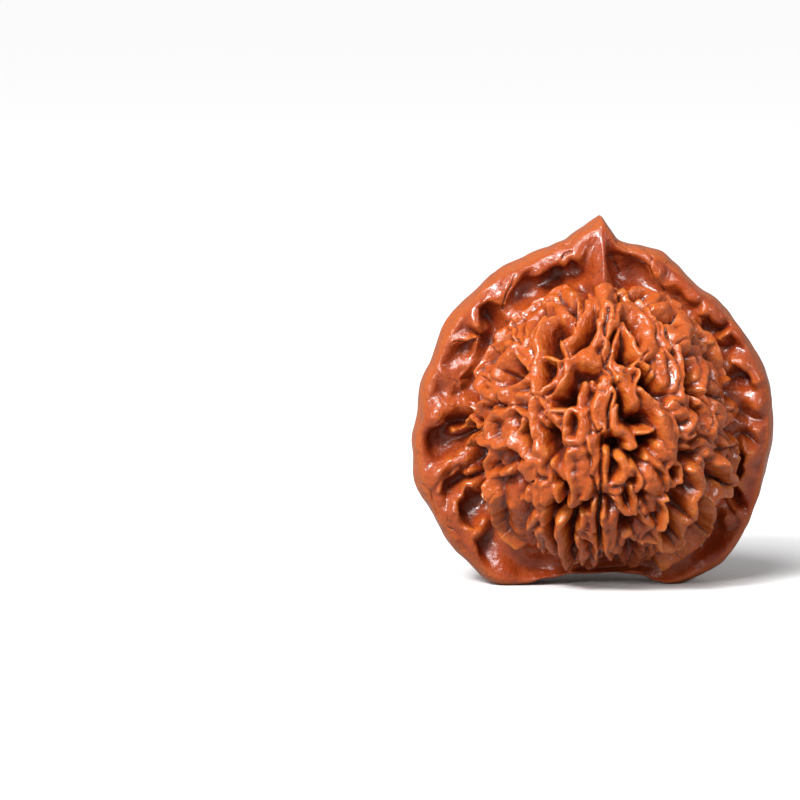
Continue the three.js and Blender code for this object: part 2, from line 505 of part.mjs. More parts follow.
// Smooth body without relief, one point for each direction
function body(direction) {
  const angle = Math.atan2(direction.z, direction.x);
  const rim = throughKnots(roundRim, angle)[0];
  const [out, half] = throughKnots(sectionKnots(bellyReach(angle), rim), placeOf(direction));
  const x = bellyCentre.x + out * Math.cos(angle);
  const z = bellyCentre.z + out * Math.sin(angle);
  const inside = Math.max(0, rim - out);
  const away = x - keelMiddle - keelLean * inside;
  const face = away > 0 ? keelRight : keelLeft;
  const flare = keelFlare * smoothstep(4.5, 8.5, inside);
  const beside = Math.abs(away) / (face.width + face.spread * inside + flare);
  const top = smoothstep(bellyCentre.z + 8, bellyCentre.z + 14, z);
  const keel = top * keelRise * Math.pow(inside, keelPower) * Math.exp(-Math.pow(beside, keelShape));
  const thick = Math.pow(Math.pow(half, 4) + Math.pow(keel, 4), 0.25);
  return new THREE.Vector3(x, direction.y < 0 ? -thick : thick, z);
}

const probe = 0.03;

function tangents(direction) {
  const helper = Math.abs(direction.y) < 0.8 ? new THREE.Vector3(0, 1, 0) : new THREE.Vector3(1, 0, 0);
  const first = helper.cross(direction).normalize();
  return [first, direction.clone().cross(first)];
}

function outward(direction) {
  const [first, second] = tangents(direction);
  const along = [first, second].map((tangent) => {
    const ahead = body(direction.clone().addScaledVector(tangent, probe).normalize());
    return ahead.sub(body(direction.clone().addScaledVector(tangent, -probe).normalize()));
  });
  return along[0].cross(along[1]).normalize();
}

function onBelly(direction) {
  return 1 - smoothstep(0.68, 0.78, placeOf(direction));
}

// Ribs and pits fade out towards the smooth rim
function offRim(direction) {
  return 1 - smoothstep(0.88, 0.96, placeOf(direction));
}

// Nought in the middle of a belly and on the wing, one on the steep flank between them
function onFlank(direction) {
  return smoothstep(0.3, 0.62, placeOf(direction)) * onBelly(direction);
}

function floorAt(direction) {
  const low = THREE.MathUtils.lerp(bellyFloor, flankFloor, onFlank(direction));
  return THREE.MathUtils.lerp(wingFloor, low, onBelly(direction));
}

// Surface raised by an amount; on the bellies the ridges droop outward and down
function raised(direction, amount) {
  const start = body(direction);
  const normal = outward(direction);
  const droop = new THREE.Vector3(
    (start.x - bellyCentre.x) / bellyHalfWidth, 0, (start.z - bellyCentre.z) / bellyHalfHeight - 0.5
  );
  droop.addScaledVector(normal, -droop.dot(normal));
  const above = Math.max(0, amount - floorAt(direction)) * onBelly(direction);
  const lean = THREE.MathUtils.lerp(middleDroop, flankDroop, onFlank(direction));
  const point = start.addScaledVector(normal, amount).addScaledVector(droop, lean * above);
  point.z = Math.max(0, point.z);
  return point;
}

// Direction at a place on the near half of the nut, at an angle round its middle
function polarDirection(place, angle) {
  const polar = place * Math.PI / 2;
  return new THREE.Vector3(
    Math.sin(polar) * Math.cos(angle), -Math.cos(polar), Math.sin(polar) * Math.sin(angle)
  );
}

// Directions whose ridge tops are seen at measured points, on the belly or on the wing
function sightTable(fromPlace, toPlace, placeSteps, angleSteps, amount) {
  const table = [];
  for (let i = 0; i <= placeSteps; i++) {
    const place = fromPlace + (toPlace - fromPlace) * i / placeSteps;
    for (let j = 0; j < angleSteps; j++) {
      const direction = polarDirection(place, j * 2 * Math.PI / angleSteps);
      table.push({ direction, at: seenAt(raised(direction, amount)) });
    }
  }
  return table;
}

const bellySights = sightTable(0, 0.7, 90, 240, ridgeHeight);
const wingSights = sightTable(0.74, 0.97, 24, 300, wingFloor);

function directionSeenAt(table, x, y) {
  let best = table[0];
  let least = Infinity;
  for (const entry of table) {
    const miss = (entry.at[0] - x) ** 2 + (entry.at[1] - y) ** 2;
    if (miss < least) {
      least = miss;
      best = entry;
    }
  }
  return best.direction;
}

// The far side: belly ridges turned end for end and drawn a little, wing ribs opposite their fellows
function farBelly(direction) {
  const drawn = new THREE.Vector3(
    -direction.x + 0.09 * Math.sin(4 * direction.z + 1), -direction.y,
    -direction.z + 0.09 * Math.sin(5 * direction.x + 2)
  );
  return drawn.normalize();
}

function farWing(direction) {
  const shift = 0.1 + 0.07 * Math.sin(3 * Math.atan2(direction.z, direction.x));
  return new THREE.Vector3(direction.x, -direction.y, direction.z)
    .applyAxisAngle(new THREE.Vector3(0, 1, 0), shift);
}

// A path on the smooth body, with the ball that holds everything it can shape
function pathOver(directions, margin) {
  const points = directions.map(body);
  const middle = points.reduce((sum, point) => sum.add(point), new THREE.Vector3())
    .divideScalar(points.length);
  return { points, middle, reach: Math.max(...points.map((point) => point.distanceTo(middle))) + margin };
}

function directionsSeenAt(table, flat) {
  const directions = [];
  for (let i = 0; i < flat.length; i += 2) {
    directions.push(directionSeenAt(table, flat[i], flat[i + 1]));
  }
  return directions;
}

// On the flanks a ridge is seen from the side, so it is broader than it looks
const ridges = [];
function addRidge(height, half, directions) {
  const flank = directions.reduce((sum, direction) => sum + onFlank(direction), 0) / directions.length;
  const width = half * (1 + flankWiden * flank);
  ridges.push({ height, half: width, directions, ...pathOver(directions, 3 * width) });
}

function addRidges(rows, table, farSide) {
  for (const [height, half, ...flat] of rows) {
    const directions = directionsSeenAt(table, flat);
    addRidge(height, half * widthScale, directions);
    addRidge(height, half * widthScale, directions.map(farSide));
  }
}
Object.values(bellyRidges).forEach((rows) => addRidges(rows, bellySights, farBelly));
Object.values(wingRibs).forEach((rows) => addRidges(rows, wingSights, farWing));

const foldPlaces = [0.6, 0.65, 0.7, 0.75, 0.8];
const foldSwing = 0.035;
const foldHalf = 0.5;
sideFolds.forEach(([x, y], index) => {
  const edge = directionSeenAt(bellySights, x, y);
  const edgeAngle = Math.atan2(edge.z, edge.x);
  const directions = foldPlaces.map((place, step) => {
    return polarDirection(place, edgeAngle + foldSwing * Math.sin(2.1 * step + index));
  });
  const height = 0.6 + 0.4 * Math.sin(1.7 * index);
  addRidge(height, foldHalf, directions);
  addRidge(height, foldHalf, directions.map((direction) => direction.clone().negate()));
});

const pits = [];
function addPits(rows, table, farSide, depthScale, radiusScale) {
  for (const [depth, radius, ...flat] of rows) {
    const directions = directionsSeenAt(table, flat);
    for (const placed of [directions, directions.map(farSide)]) {
      const width = radius * radiusScale;
      const path = pathOver(placed, 2.5 * width);
      pits.push({ depth: depth * depthScale, radius: width, directions: placed, ...path });
    }
  }
}
addPits(bellyPits, bellySights, farBelly, pitDepthScale, 1);
addPits(wingPits, wingSights, farWing, 1, wingPitWidthScale);

// Relief over the smooth body: floor and pits first, then the ridges, blended where they meet
function pathDistance(points, point) {
  let least = points[0].distanceTo(point);
  const line = new THREE.Line3();
  const nearest = new THREE.Vector3();
  for (let i = 1; i < points.length; i++) {
    line.set(points[i - 1], points[i]).closestPointToPoint(point, true, nearest);
    least = Math.min(least, nearest.distanceTo(point));
  }
  return least;
}

function wander(point, { reach, length, seed }) {
  const step = [0, 1, 2].map((axis) => reach * noise(point, length, seed + axis));
  return new THREE.Vector3(...step);
}

function bentPlace(point) {
  return point.clone().add(wander(point, slowWander));
}

function wavyPlace(point) {
  return bentPlace(point).add(wander(point, quickWander));
}

function relief(direction) {
  const point = body(direction);
  const bent = bentPlace(point);
  const wavy = wavyPlace(point);
  const peaks = peakHeight * noise(point, 1.7, 8);
  const swell = 1 + swellShare * noise(point, 1.5, 14);
  const clear = offRim(direction);
  let floor = floorAt(direction) + floorWaves * noise(point, 4.2, 4);
  for (const pit of pits) {
    if (pit.middle.distanceTo(bent) > pit.reach) continue;
    const near = pathDistance(pit.points, bent) / pit.radius;
    floor -= clear * pit.depth * Math.exp(-near * near);
  }
  let sum = 1;
  for (const ridge of ridges) {
    if (ridge.middle.distanceTo(bent) > ridge.reach) continue;
    const near = pathDistance(ridge.points, wavy) / (ridge.half * swell);
    const rise = clear * (ridge.height + peaks - floor) * Math.exp(-Math.pow(near, ridgeShape));
    sum += Math.exp(ridgeBlend * rise) - 1;
  }
  const blended = floor + Math.log(sum) / ridgeBlend + roughnessHeight * noise(point, 2.3, 5);
  const lumps = lumpHeight * (Math.abs(noise(bent, 1.9, 6)) - 0.3);
  const lumpShare = THREE.MathUtils.lerp(lumpsOnWing, 1, onBelly(direction))
    * THREE.MathUtils.lerp(1, lumpsOnFlank, onFlank(direction));
  return blended + lumps * lumpShare;
}

// The corners of the flat spots, each with the direction it is reached by
const feet = [];
const footMiddles = [];
function footDirection(x, y) {
  const angle = Math.atan2(-bellyCentre.z, x - bellyCentre.x);
  let inner = edgePlace;
  let outer = 1;
  for (let step = 0; step < 30; step++) {
    const place = (inner + outer) / 2;
    if (-body(polarDirection(place, angle)).y > Math.abs(y)) inner = place;
    else outer = place;
  }
  const direction = polarDirection(inner, angle);
  direction.y *= -Math.sign(y);
  return direction;
}

for (const [from, to] of footSpots) {
  for (const x of [from, to]) {
    for (const y of [-footHalfDepth, footHalfDepth]) {
      feet.push({ direction: footDirection(x, y), point: new THREE.Vector3(x, y, 0) });
    }
  }
  const middle = feet.slice(-4).reduce((sum, foot) => sum.add(foot.direction), new THREE.Vector3());
  footMiddles.push(middle.normalize());
}
const footReach = feet[0].direction.distanceTo(footMiddles[0]) * 1.06;

function onFoot(direction) {
  return footMiddles.some((middle) => middle.distanceTo(direction) < footReach);
}

// Points kept in cells, so that the ones near a place are quickly found
function cellStore(size) {
  const cells = new Map();
  const keyOf = (x, y, z) => `${Math.floor(x)},${Math.floor(y)},${Math.floor(z)}`;
  const add = (entry) => {
    const { x, y, z } = entry.base;
    const key = keyOf(x / size, y / size, z / size);
    if (!cells.has(key)) cells.set(key, []);
    cells.get(key).push(entry);
  };
  const near = (point, reach) => {
    const found = [];
    for (const i of [-1, 0, 1]) {
      for (const j of [-1, 0, 1]) {
        for (const k of [-1, 0, 1]) {
          const key = keyOf(point.x / size + i, point.y / size + j, point.z / size + k);
          for (const entry of cells.get(key) ?? []) {
            if (entry.base.distanceTo(point) < reach) found.push(entry);
          }
        }
      }
    }
    return found;
  };
  return { add, near };
}

// Candidate corners: an even spread of directions, with the height and the bend of the relief at each
const goldenAngle = Math.PI * (3 - Math.sqrt(5));
const candidates = [];
for (let i = 0; i < candidateCount; i++) {
  const y = 1 - 2 * (i + 0.5) / candidateCount;
  const across = Math.sqrt(1 - y * y);
  const direction = new THREE.Vector3(
    across * Math.cos(i * goldenAngle), y, across * Math.sin(i * goldenAngle)
  );
  if (!onFoot(direction)) {
    candidates.push({ direction, base: body(direction), height: relief(direction) });
  }
}
const allNear = cellStore(bendReach);
candidates.forEach(allNear.add);
for (const candidate of candidates) {
  const around = allNear.near(candidate.base, bendReach);
  const mean = around.reduce((sum, entry) => sum + entry.height, 0) / around.length;
  candidate.bend = candidate.height - mean;
}

const corners = feet.map((foot) => foot.direction);
const chosen = cellStore(wingSpacing);
function choose(candidate, spacing) {
  if (chosen.near(candidate.base, spacing).length > 0) return;
  chosen.add(candidate);
  corners.push(candidate.direction);
}

// Candidates nearest to a path, where the path comes out on the shell
function chooseAlong({ directions, points }, placeOnShell) {
  for (let i = 0; i < directions.length; i++) {
    const next = Math.min(i + 1, directions.length - 1);
    const steps = Math.max(1, Math.round(points[i].distanceTo(points[next]) / crestSpacing));
    for (let step = 0; step < steps; step++) {
      const direction = directions[i].clone().lerp(directions[next], step / steps).normalize();
      const base = body(direction);
      const target = base.clone().multiplyScalar(2).sub(placeOnShell(base));
      let best = null;
      for (const entry of allNear.near(target, bendReach)) {
        if (!best || entry.base.distanceTo(target) < best.base.distanceTo(target)) best = entry;
      }
      if (best) choose(best, crestSpacing);
    }
  }
}

ridges.sort((a, b) => b.height - a.height);
ridges.forEach((ridge) => chooseAlong(ridge, wavyPlace));
pits.forEach((pit) => chooseAlong(pit, bentPlace));
candidates.sort((a, b) => a.bend - b.bend);
for (const candidate of candidates) {
  if (candidate.bend > -valleyBend) break;
  choose(candidate, valleySpacing);
}
for (const candidate of candidates) {
  choose(candidate, placeOf(candidate.direction) < 0.76 ? bellySpacing : wingSpacing);
}

// Facets join neighbouring directions; each corner then goes to its place on the shell
const round = new ConvexGeometry(corners);
round.deleteAttribute('normal');
const shell = mergeVertices(round, 1e-6);
const position = shell.getAttribute('position');
for (let i = 0; i < position.count; i++) {
  const direction = new THREE.Vector3().fromBufferAttribute(position, i).normalize();
  const foot = feet.find((entry) => entry.direction.distanceTo(direction) < 1e-4);
  const point = foot ? foot.point : raised(direction, relief(direction));
  position.setXYZ(i, point.x, point.y, foot ? 0 : Math.max(footClearance, point.z));
}
shell.computeVertexNormals();

const walnut = new THREE.Mesh(
  shell,
  new THREE.MeshStandardMaterial({ color: 0xa8431c, roughness: 0.3, metalness: 0, flatShading: true })
);
walnut.name = 'walnut';

const nut = new THREE.Group();
nut.add(walnut);

export default nut;
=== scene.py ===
import math

import bpy
import numpy as np
from mathutils import Matrix, Vector


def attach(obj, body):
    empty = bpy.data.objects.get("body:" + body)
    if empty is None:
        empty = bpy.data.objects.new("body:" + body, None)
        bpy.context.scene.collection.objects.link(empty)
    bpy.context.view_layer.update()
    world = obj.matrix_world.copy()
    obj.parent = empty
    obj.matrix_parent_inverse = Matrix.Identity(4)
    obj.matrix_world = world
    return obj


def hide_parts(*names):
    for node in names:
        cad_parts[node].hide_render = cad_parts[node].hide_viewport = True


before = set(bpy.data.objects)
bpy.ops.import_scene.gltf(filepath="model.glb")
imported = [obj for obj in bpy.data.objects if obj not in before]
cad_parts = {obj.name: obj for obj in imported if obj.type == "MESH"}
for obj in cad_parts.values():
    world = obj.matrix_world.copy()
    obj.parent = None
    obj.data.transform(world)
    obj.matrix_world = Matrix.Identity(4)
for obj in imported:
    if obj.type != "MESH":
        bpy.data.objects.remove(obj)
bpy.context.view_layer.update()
print("solid walnut loaded")

mm = 0.001

# sizes of the nut in millimetres, as in the solid
nutForm = {
    "height": 46.0,
    "bellyHalfWidth": 16.0,
    "bellyHalfHeight": 17.3,
    "bellyHalfThickness": 17.6,
    "bellyCentre": (0.85, 20.0),
    "footHalfThickness": 4.5,
    "valleyHalfThickness": 2.4,
    "lipHalfThickness": 3.2,
    "rimHalfThickness": 2.7,
    "keelRise": 1.6,
    "keelPower": 0.73,
    "keelMiddle": 1.1,
    "keelLean": 0.07,
    "keelWidth": (2.5, 0.8),
    "keelSpread": (0.12, 0.1),
    "keelFlare": 2.2,
    "keelShape": 2.4,
}

# relief of the shell in millimetres; the fine parts are only in this piece
shellRelief = {
    "ridgeHeight": 1.1,
    "bellyFloor": -0.95,
    "flankFloor": -2.0,
    "wingFloor": -0.1,
    "droop": 0.1,
    "flankDroop": 0.3,
    "blend": 5.0,
    "widthScale": 1.15,
    "narrowest": 0.72,  # least half width of a ridge of the belly before it is scaled
    "flankWiden": 0.35,
    "flankContrast": 1.0,  # how much more the high ridges of a flank stand out from the low ones
    "lopsided": 0.3,  # how much farther a flank ridge runs out above its edge than below
    "curtain": 0.5,  # the same for the overhanging ledges
    "ridgeShape": 2.3,  # steepness of the sides of a ridge
    "roughness": 0.12,
    "peaks": 0.4,
    "swell": 0.25,
    "pitDepth": 1.4,
    "wingDepth": 0.85,
    "wingPitWidth": 1.5,
    "wingRibWidth": 1.5,
    "creaseDepth": 0.6,
    "creaseWidth": 0.52,
    "lumps": 0.42,
    "knobs": 0.22,
    "grains": 0.05,
    "flank": (0.3, 0.62),  # where it starts and ends on the way from the belly's middle to the rim
    "bellyEdge": (0.68, 0.78),
    "rimEdge": (0.88, 0.96),
    "gridSteps": 250,  # quads along one side of each of the six patches
    "triangles": 190000,
}

# the sight line that the points were measured along, in the 800 by 800 frame
sightLine = {
    "distance": 600.0,
    "pixelsPerMillimetre": 8.0,
    "turn": math.radians(2.5),
    "drop": math.radians(6.0),
    "frameMiddle": 400,
    "nutMiddle": 592,
    "middleHeight": 23.0,
}

rimPoints = [
  [600, 214], [604, 217], [610, 227], [617, 238], [628, 243], [640, 245], [651, 248], [662, 252],
  [671, 259], [680, 265], [689, 274], [700, 284], [717, 296], [734, 316], [747, 336], [759, 356],
  [767, 376], [772, 404], [773, 434], [767, 464], [761, 489], [753, 515], [739, 542], [725, 561],
  [713, 569], [701, 575], [691, 580], [681, 584], [670, 586], [660, 585], [652, 582], [645, 577],
  [636, 573], [618, 571], [600, 571], [580, 572], [566, 574], [553, 578], [540, 580], [530, 584],
  [518, 586], [505, 585], [494, 582], [484, 577], [474, 569], [462, 558], [447, 542], [434, 521],
  [422, 496], [415, 479], [412, 460], [411, 436], [416, 406], [423, 376], [431, 356], [439, 336],
  [451, 316], [467, 296], [486, 276], [503, 265], [525, 257], [547, 246], [556, 240], [565, 237],
  [571, 233], [583, 225], [595, 217]
]

bellyRidges = {
  "crownLeft": [
    [1.2, 1.2, 510, 319, 517, 311, 526, 305, 536, 300, 544, 294, 549, 287, 555, 284],
    [1.0, 0.8, 523, 320, 529, 314, 536, 309, 541, 306], [1.3, 0.6, 541, 307, 544, 302, 550, 296],
    [1.5, 1.3, 552, 299, 556, 292, 562, 288, 568, 290, 573, 297],
    [1.3, 1.0, 547, 306, 553, 307, 558, 312, 562, 318],
    [1.0, 0.6, 578, 299, 578, 308, 574, 318, 572, 328],
    [1.5, 1.0, 592, 306, 587, 310, 583, 318, 579, 328, 574, 337, 568, 342, 564, 346],
    [1.2, 0.5, 560, 341, 563, 349, 567, 356], [1.2, 0.7, 592, 296, 597, 302, 598, 308],
    [1.4, 0.8, 600, 323, 600, 334, 597, 344, 592, 350, 583, 352],
    [1.7, 1.3, 583, 357, 590, 356, 598, 362],
    [1.4, 0.8, 583, 354, 576, 357, 570, 361, 566, 369, 562, 378, 557, 386, 551, 394, 546, 400],
    [1.2, 0.6, 536, 362, 544, 360, 552, 360, 560, 364, 567, 360],
    [1.1, 0.7, 557, 364, 556, 373, 551, 381, 545, 388, 541, 396], [1.2, 0.9, 547, 398, 549, 404, 543, 402]
  ],
  "shoulderLeft": [
    [1.5, 1.0, 549, 320, 545, 326, 540, 336, 538, 346, 537, 356, 536, 366, 536, 376, 537, 386, 537, 396],
    [1.3, 0.5, 511, 323, 515, 331, 518, 340, 522, 347, 528, 354, 530, 363],
    [1.2, 0.5, 518, 324, 521, 334, 521, 344], [1.2, 0.5, 528, 323, 527, 334, 525, 344],
    [1.2, 0.5, 545, 316, 538, 325, 534, 334, 532, 345],
    [1.2, 0.4, 531, 352, 532, 362, 532, 372, 529, 382],
    [1.4, 0.9, 509, 320, 502, 324, 496, 331, 496, 336],
    [1.2, 0.8, 506, 333, 499, 339, 491, 347, 485, 353, 479, 359, 472, 362],
    [1.3, 0.8, 502, 346, 508, 343, 513, 346, 517, 352],
    [1.5, 1.2, 498, 374, 500, 367, 506, 361, 511, 356, 513, 349],
    [1.3, 0.6, 516, 352, 521, 358, 526, 365, 529, 371], [1.0, 1.2, 484, 370, 491, 366, 497, 361],
    [1.2, 0.8, 470, 366, 474, 373, 480, 378, 487, 376, 493, 374],
    [1.3, 0.9, 488, 379, 491, 386, 498, 391, 505, 392, 512, 388, 521, 384, 529, 381],
    [1.3, 1.1, 479, 385, 484, 392, 491, 397]
  ],
  "flankLeft": [
    [1.4, 1.2, 502, 398, 508, 399, 518, 400, 527, 398], [1.2, 0.8, 506, 393, 514, 389, 522, 387],
    [1.2, 0.8, 506, 404, 513, 410, 521, 415, 528, 414], [1.3, 0.5, 532, 390, 535, 398, 534, 405],
    [1.1, 0.6, 475, 414, 477, 408, 482, 403, 488, 400],
    [0.9, 0.6, 476, 415, 480, 419, 486, 417, 489, 408],
    [1.4, 0.9, 510, 409, 503, 411, 495, 414, 489, 419, 487, 429, 488, 440, 490, 448],
    [0.9, 2.0, 501, 420, 502, 432], [1.5, 0.7, 471, 442, 477, 439, 482, 439, 487, 444],
    [1.7, 1.0, 491, 446, 498, 444, 505, 442, 512, 440, 518, 443, 523, 448, 526, 454],
    [1.1, 0.6, 512, 440, 516, 434, 520, 428, 521, 422],
    [1.3, 0.7, 489, 452, 488, 462, 487, 470, 492, 475, 500, 475, 509, 472], [0.6, 1.2, 499, 463],
    [1.6, 1.2, 530, 457, 526, 464, 524, 472, 527, 480], [1.2, 0.5, 537, 462, 534, 470, 531, 478]
  ],
  "middleLeft": [
    [1.5, 1.1, 534, 404, 533, 413, 534, 423, 537, 433, 538, 443, 540, 453, 541, 463, 542, 472],
    [1.1, 0.5, 540, 418, 546, 422, 551, 420], [1.1, 0.7, 546, 412, 552, 409, 560, 408, 568, 410],
    [1.1, 1.0, 553, 413, 559, 420], [1.3, 0.8, 570, 411, 570, 421, 567, 430, 565, 437],
    [1.4, 0.8, 572, 409, 577, 411, 584, 415, 586, 423, 587, 431, 583, 438, 577, 442, 569, 440],
    [1.0, 0.7, 556, 421, 560, 427, 563, 435, 564, 442],
    [1.5, 1.0, 603, 386, 600, 395, 597, 405, 597, 415, 598, 426],
    [1.2, 0.9, 585, 384, 583, 392, 581, 400, 580, 407, 585, 411], [0.8, 0.6, 592, 380, 594, 388],
    [1.6, 1.0, 571, 452, 567, 461, 566, 471, 570, 481, 574, 490, 575, 500, 573, 507],
    [1.1, 1.6, 580, 452, 580, 465, 581, 480, 580, 492],
    [1.2, 0.7, 590, 440, 593, 450, 594, 462, 591, 474, 588, 486, 585, 498, 578, 504],
    [1.2, 0.8, 553, 463, 556, 469, 560, 474, 561, 480], [1.1, 1.0, 550, 472, 552, 481]
  ],
  "skirtLeft": [
    [1.0, 2.0, 510, 498, 511, 511, 513, 524, 517, 536, 523, 546], [1.3, 0.6, 487, 513, 493, 512],
    [1.4, 0.7, 521, 501, 526, 498, 528, 491], [1.4, 0.7, 529, 530, 532, 523, 535, 516],
    [1.1, 0.6, 530, 531, 538, 530], [1.3, 0.9, 535, 484, 536, 493, 537, 502, 541, 512, 543, 522],
    [1.3, 0.7, 540, 530, 538, 540, 541, 548, 544, 554],
    [1.2, 0.6, 545, 530, 546, 540, 549, 549, 556, 557], [1.4, 0.9, 545, 488, 546, 496, 545, 502],
    [1.3, 0.8, 555, 489, 556, 496, 557, 502],
    [1.5, 0.7, 560, 521, 562, 532, 563, 544, 564, 556, 567, 566, 569, 572],
    [1.1, 0.7, 583, 520, 583, 530, 579, 537, 583, 541, 590, 542],
    [1.2, 0.7, 589, 534, 594, 541, 597, 550, 595, 560, 589, 571],
    [1.2, 0.7, 580, 545, 583, 554, 584, 564], [0.9, 0.7, 590, 518, 592, 526]
  ],
  "spine": [
    [1.0, 1.3, 603, 290, 606, 300, 606, 310], [1.5, 0.8, 603, 284, 605, 296, 607, 308, 608, 320],
    [1.1, 0.5, 612, 291, 613, 300, 610, 310], [1.0, 0.5, 601, 318, 602, 330, 600, 345],
    [1.4, 0.6, 609, 325, 607, 336, 606, 348, 604, 356],
    [1.3, 0.6, 611, 345, 609, 356, 610, 368, 616, 378],
    [1.4, 1.1, 607, 376, 607, 388, 606, 402, 604, 416, 603, 428],
    [1.2, 0.6, 614, 390, 613, 402, 612, 414, 612, 426],
    [0.9, 0.8, 595, 437, 596, 450, 598, 462, 597, 478, 598, 490],
    [1.3, 0.5, 606, 452, 606, 464, 605, 476, 606, 485, 612, 486, 619, 482, 624, 475, 624, 466, 621, 458],
    [1.2, 0.9, 606, 489, 611, 491, 617, 493],
    [1.2, 0.6, 604, 510, 604, 524, 605, 538, 606, 550, 609, 559],
    [1.0, 1.1, 613, 524, 612, 538, 613, 550, 618, 555], [0.9, 0.5, 594, 505, 594, 520, 596, 534]
  ],
  "crownRight": [
    [1.1, 0.6, 617, 278, 619, 288, 617, 298], [1.2, 0.6, 624, 281, 628, 290, 627, 296],
    [1.2, 0.9, 634, 291, 640, 288, 648, 286, 653, 290],
    [1.0, 0.5, 630, 299, 636, 304, 644, 312, 651, 321, 656, 331, 658, 342],
    [1.5, 1.2, 614, 321, 615, 313, 620, 307, 630, 308, 639, 312, 647, 319, 652, 329, 652, 340, 648, 349,
      641, 355], [1.4, 0.8, 620, 327, 625, 326, 628, 334, 632, 342, 637, 350, 640, 358],
    [1.2, 0.6, 618, 332, 616, 342, 613, 352, 613, 360, 617, 367, 625, 370, 633, 368],
    [1.2, 0.5, 633, 366, 637, 361, 643, 364, 647, 365],
    [1.4, 0.6, 641, 303, 647, 309, 653, 317, 659, 326, 664, 335, 668, 345],
    [1.3, 0.9, 661, 327, 664, 336, 665, 345],
    [1.5, 0.8, 664, 349, 670, 356, 674, 366, 675, 376, 677, 386],
    [1.4, 1.2, 660, 354, 663, 366, 665, 378], [0.9, 0.8, 656, 360, 655, 370]
  ],
  "shoulderRight": [
    [1.1, 0.5, 656, 291, 661, 293, 667, 294, 671, 291],
    [1.5, 1.0, 651, 303, 656, 299, 664, 298, 673, 299, 680, 302],
    [1.6, 1.2, 657, 311, 665, 310, 673, 311, 680, 316, 683, 324, 684, 332, 681, 338],
    [1.2, 0.8, 668, 327, 674, 335],
    [1.2, 0.5, 680, 300, 684, 308, 687, 318, 688, 329, 691, 337, 688, 343],
    [1.2, 0.7, 682, 346, 691, 345, 699, 350, 705, 356],
    [1.2, 0.8, 709, 361, 709, 370, 707, 380, 705, 391],
    [1.4, 0.7, 677, 345, 681, 352, 681, 361, 679, 371, 680, 381, 683, 391],
    [1.3, 0.7, 689, 320, 696, 326, 702, 333, 708, 340, 711, 346],
    [1.2, 0.5, 691, 329, 697, 337, 703, 344, 709, 350],
    [1.4, 1.0, 714, 343, 720, 346, 726, 352, 730, 358], [1.2, 0.7, 720, 357, 725, 364, 728, 371],
    [1.3, 0.5, 737, 375, 731, 378, 724, 384], [1.0, 0.9, 714, 366, 719, 375, 722, 384],
    [1.0, 0.8, 697, 357, 701, 366, 701, 377]
  ],
  "middleRight": [
    [1.3, 0.9, 617, 430, 624, 429, 630, 434, 634, 442, 630, 445],
    [1.2, 0.8, 617, 405, 616, 414, 616, 424],
    [1.4, 1.2, 619, 374, 625, 378, 630, 386, 634, 396, 636, 403],
    [1.3, 0.5, 638, 369, 636, 380, 636, 392, 636, 402], [0.9, 0.4, 637, 430, 645, 430, 654, 429],
    [1.7, 1.3, 643, 391, 650, 397, 657, 403, 660, 413, 662, 423, 665, 433, 669, 442],
    [1.4, 0.7, 664, 406, 669, 413, 671, 423, 675, 434, 677, 445, 676, 456, 670, 463],
    [1.5, 1.2, 660, 447, 664, 456, 672, 452],
    [1.5, 0.9, 676, 388, 680, 393, 682, 398, 677, 402, 670, 405],
    [1.5, 1.0, 674, 413, 680, 411, 686, 411, 692, 416, 691, 424, 685, 429],
    [1.2, 0.6, 678, 434, 685, 436, 693, 433], [1.2, 0.6, 675, 400, 683, 401, 690, 403],
    [1.4, 0.8, 624, 457, 627, 466, 630, 474], [1.4, 0.8, 631, 466, 637, 473, 639, 481, 634, 488],
    [1.4, 0.7, 648, 459, 656, 463, 664, 469]
  ],
  "flankRight": [
    [1.1, 0.4, 690, 402, 693, 413, 697, 423, 703, 431, 709, 437], [1.1, 0.5, 695, 423, 701, 429],
    [1.2, 0.4, 706, 398, 710, 405, 713, 414, 714, 420],
    [1.5, 1.3, 716, 405, 722, 410, 725, 416, 721, 421], [1.5, 1.2, 711, 422, 713, 429, 712, 435],
    [1.2, 0.9, 714, 384, 720, 387, 726, 393, 727, 400],
    [1.4, 0.9, 730, 405, 735, 407, 737, 414, 732, 420], [1.1, 0.6, 726, 424, 731, 422, 735, 424],
    [1.1, 0.6, 726, 430, 729, 437, 724, 440], [1.3, 0.8, 700, 404, 706, 408, 708, 414],
    [1.5, 0.7, 722, 441, 730, 443, 738, 445, 745, 451], [1.0, 0.6, 681, 445, 690, 446, 697, 448],
    [1.1, 0.5, 700, 445, 708, 448, 715, 448],
    [1.2, 0.7, 704, 454, 711, 454, 717, 455, 724, 457, 733, 456],
    [1.3, 0.6, 716, 460, 718, 469, 722, 476, 727, 481, 724, 486, 716, 490],
    [1.2, 0.5, 679, 460, 684, 465, 685, 474, 682, 480, 674, 484],
    [1.1, 0.5, 700, 460, 703, 467, 705, 473], [1.3, 0.7, 714, 491, 714, 498, 707, 501]
  ],
  "skirtRight": [
    [1.3, 0.7, 617, 499, 619, 507, 625, 512, 633, 513, 632, 504, 630, 495, 628, 488],
    [1.6, 1.6, 649, 474, 653, 482, 660, 488], [1.5, 0.8, 646, 486, 653, 491, 660, 494, 665, 497],
    [1.4, 0.8, 668, 471, 669, 481, 668, 490],
    [1.3, 0.7, 640, 512, 645, 518, 650, 524, 650, 532, 645, 538, 641, 543],
    [1.0, 1.1, 651, 503, 655, 513], [1.0, 0.5, 638, 506, 643, 511, 648, 516],
    [1.1, 0.5, 669, 468, 673, 477, 677, 484], [1.2, 0.8, 647, 546, 643, 555, 638, 564, 634, 571],
    [1.2, 0.6, 651, 545, 653, 552, 648, 559], [1.0, 0.4, 624, 549, 626, 541, 632, 539, 637, 543],
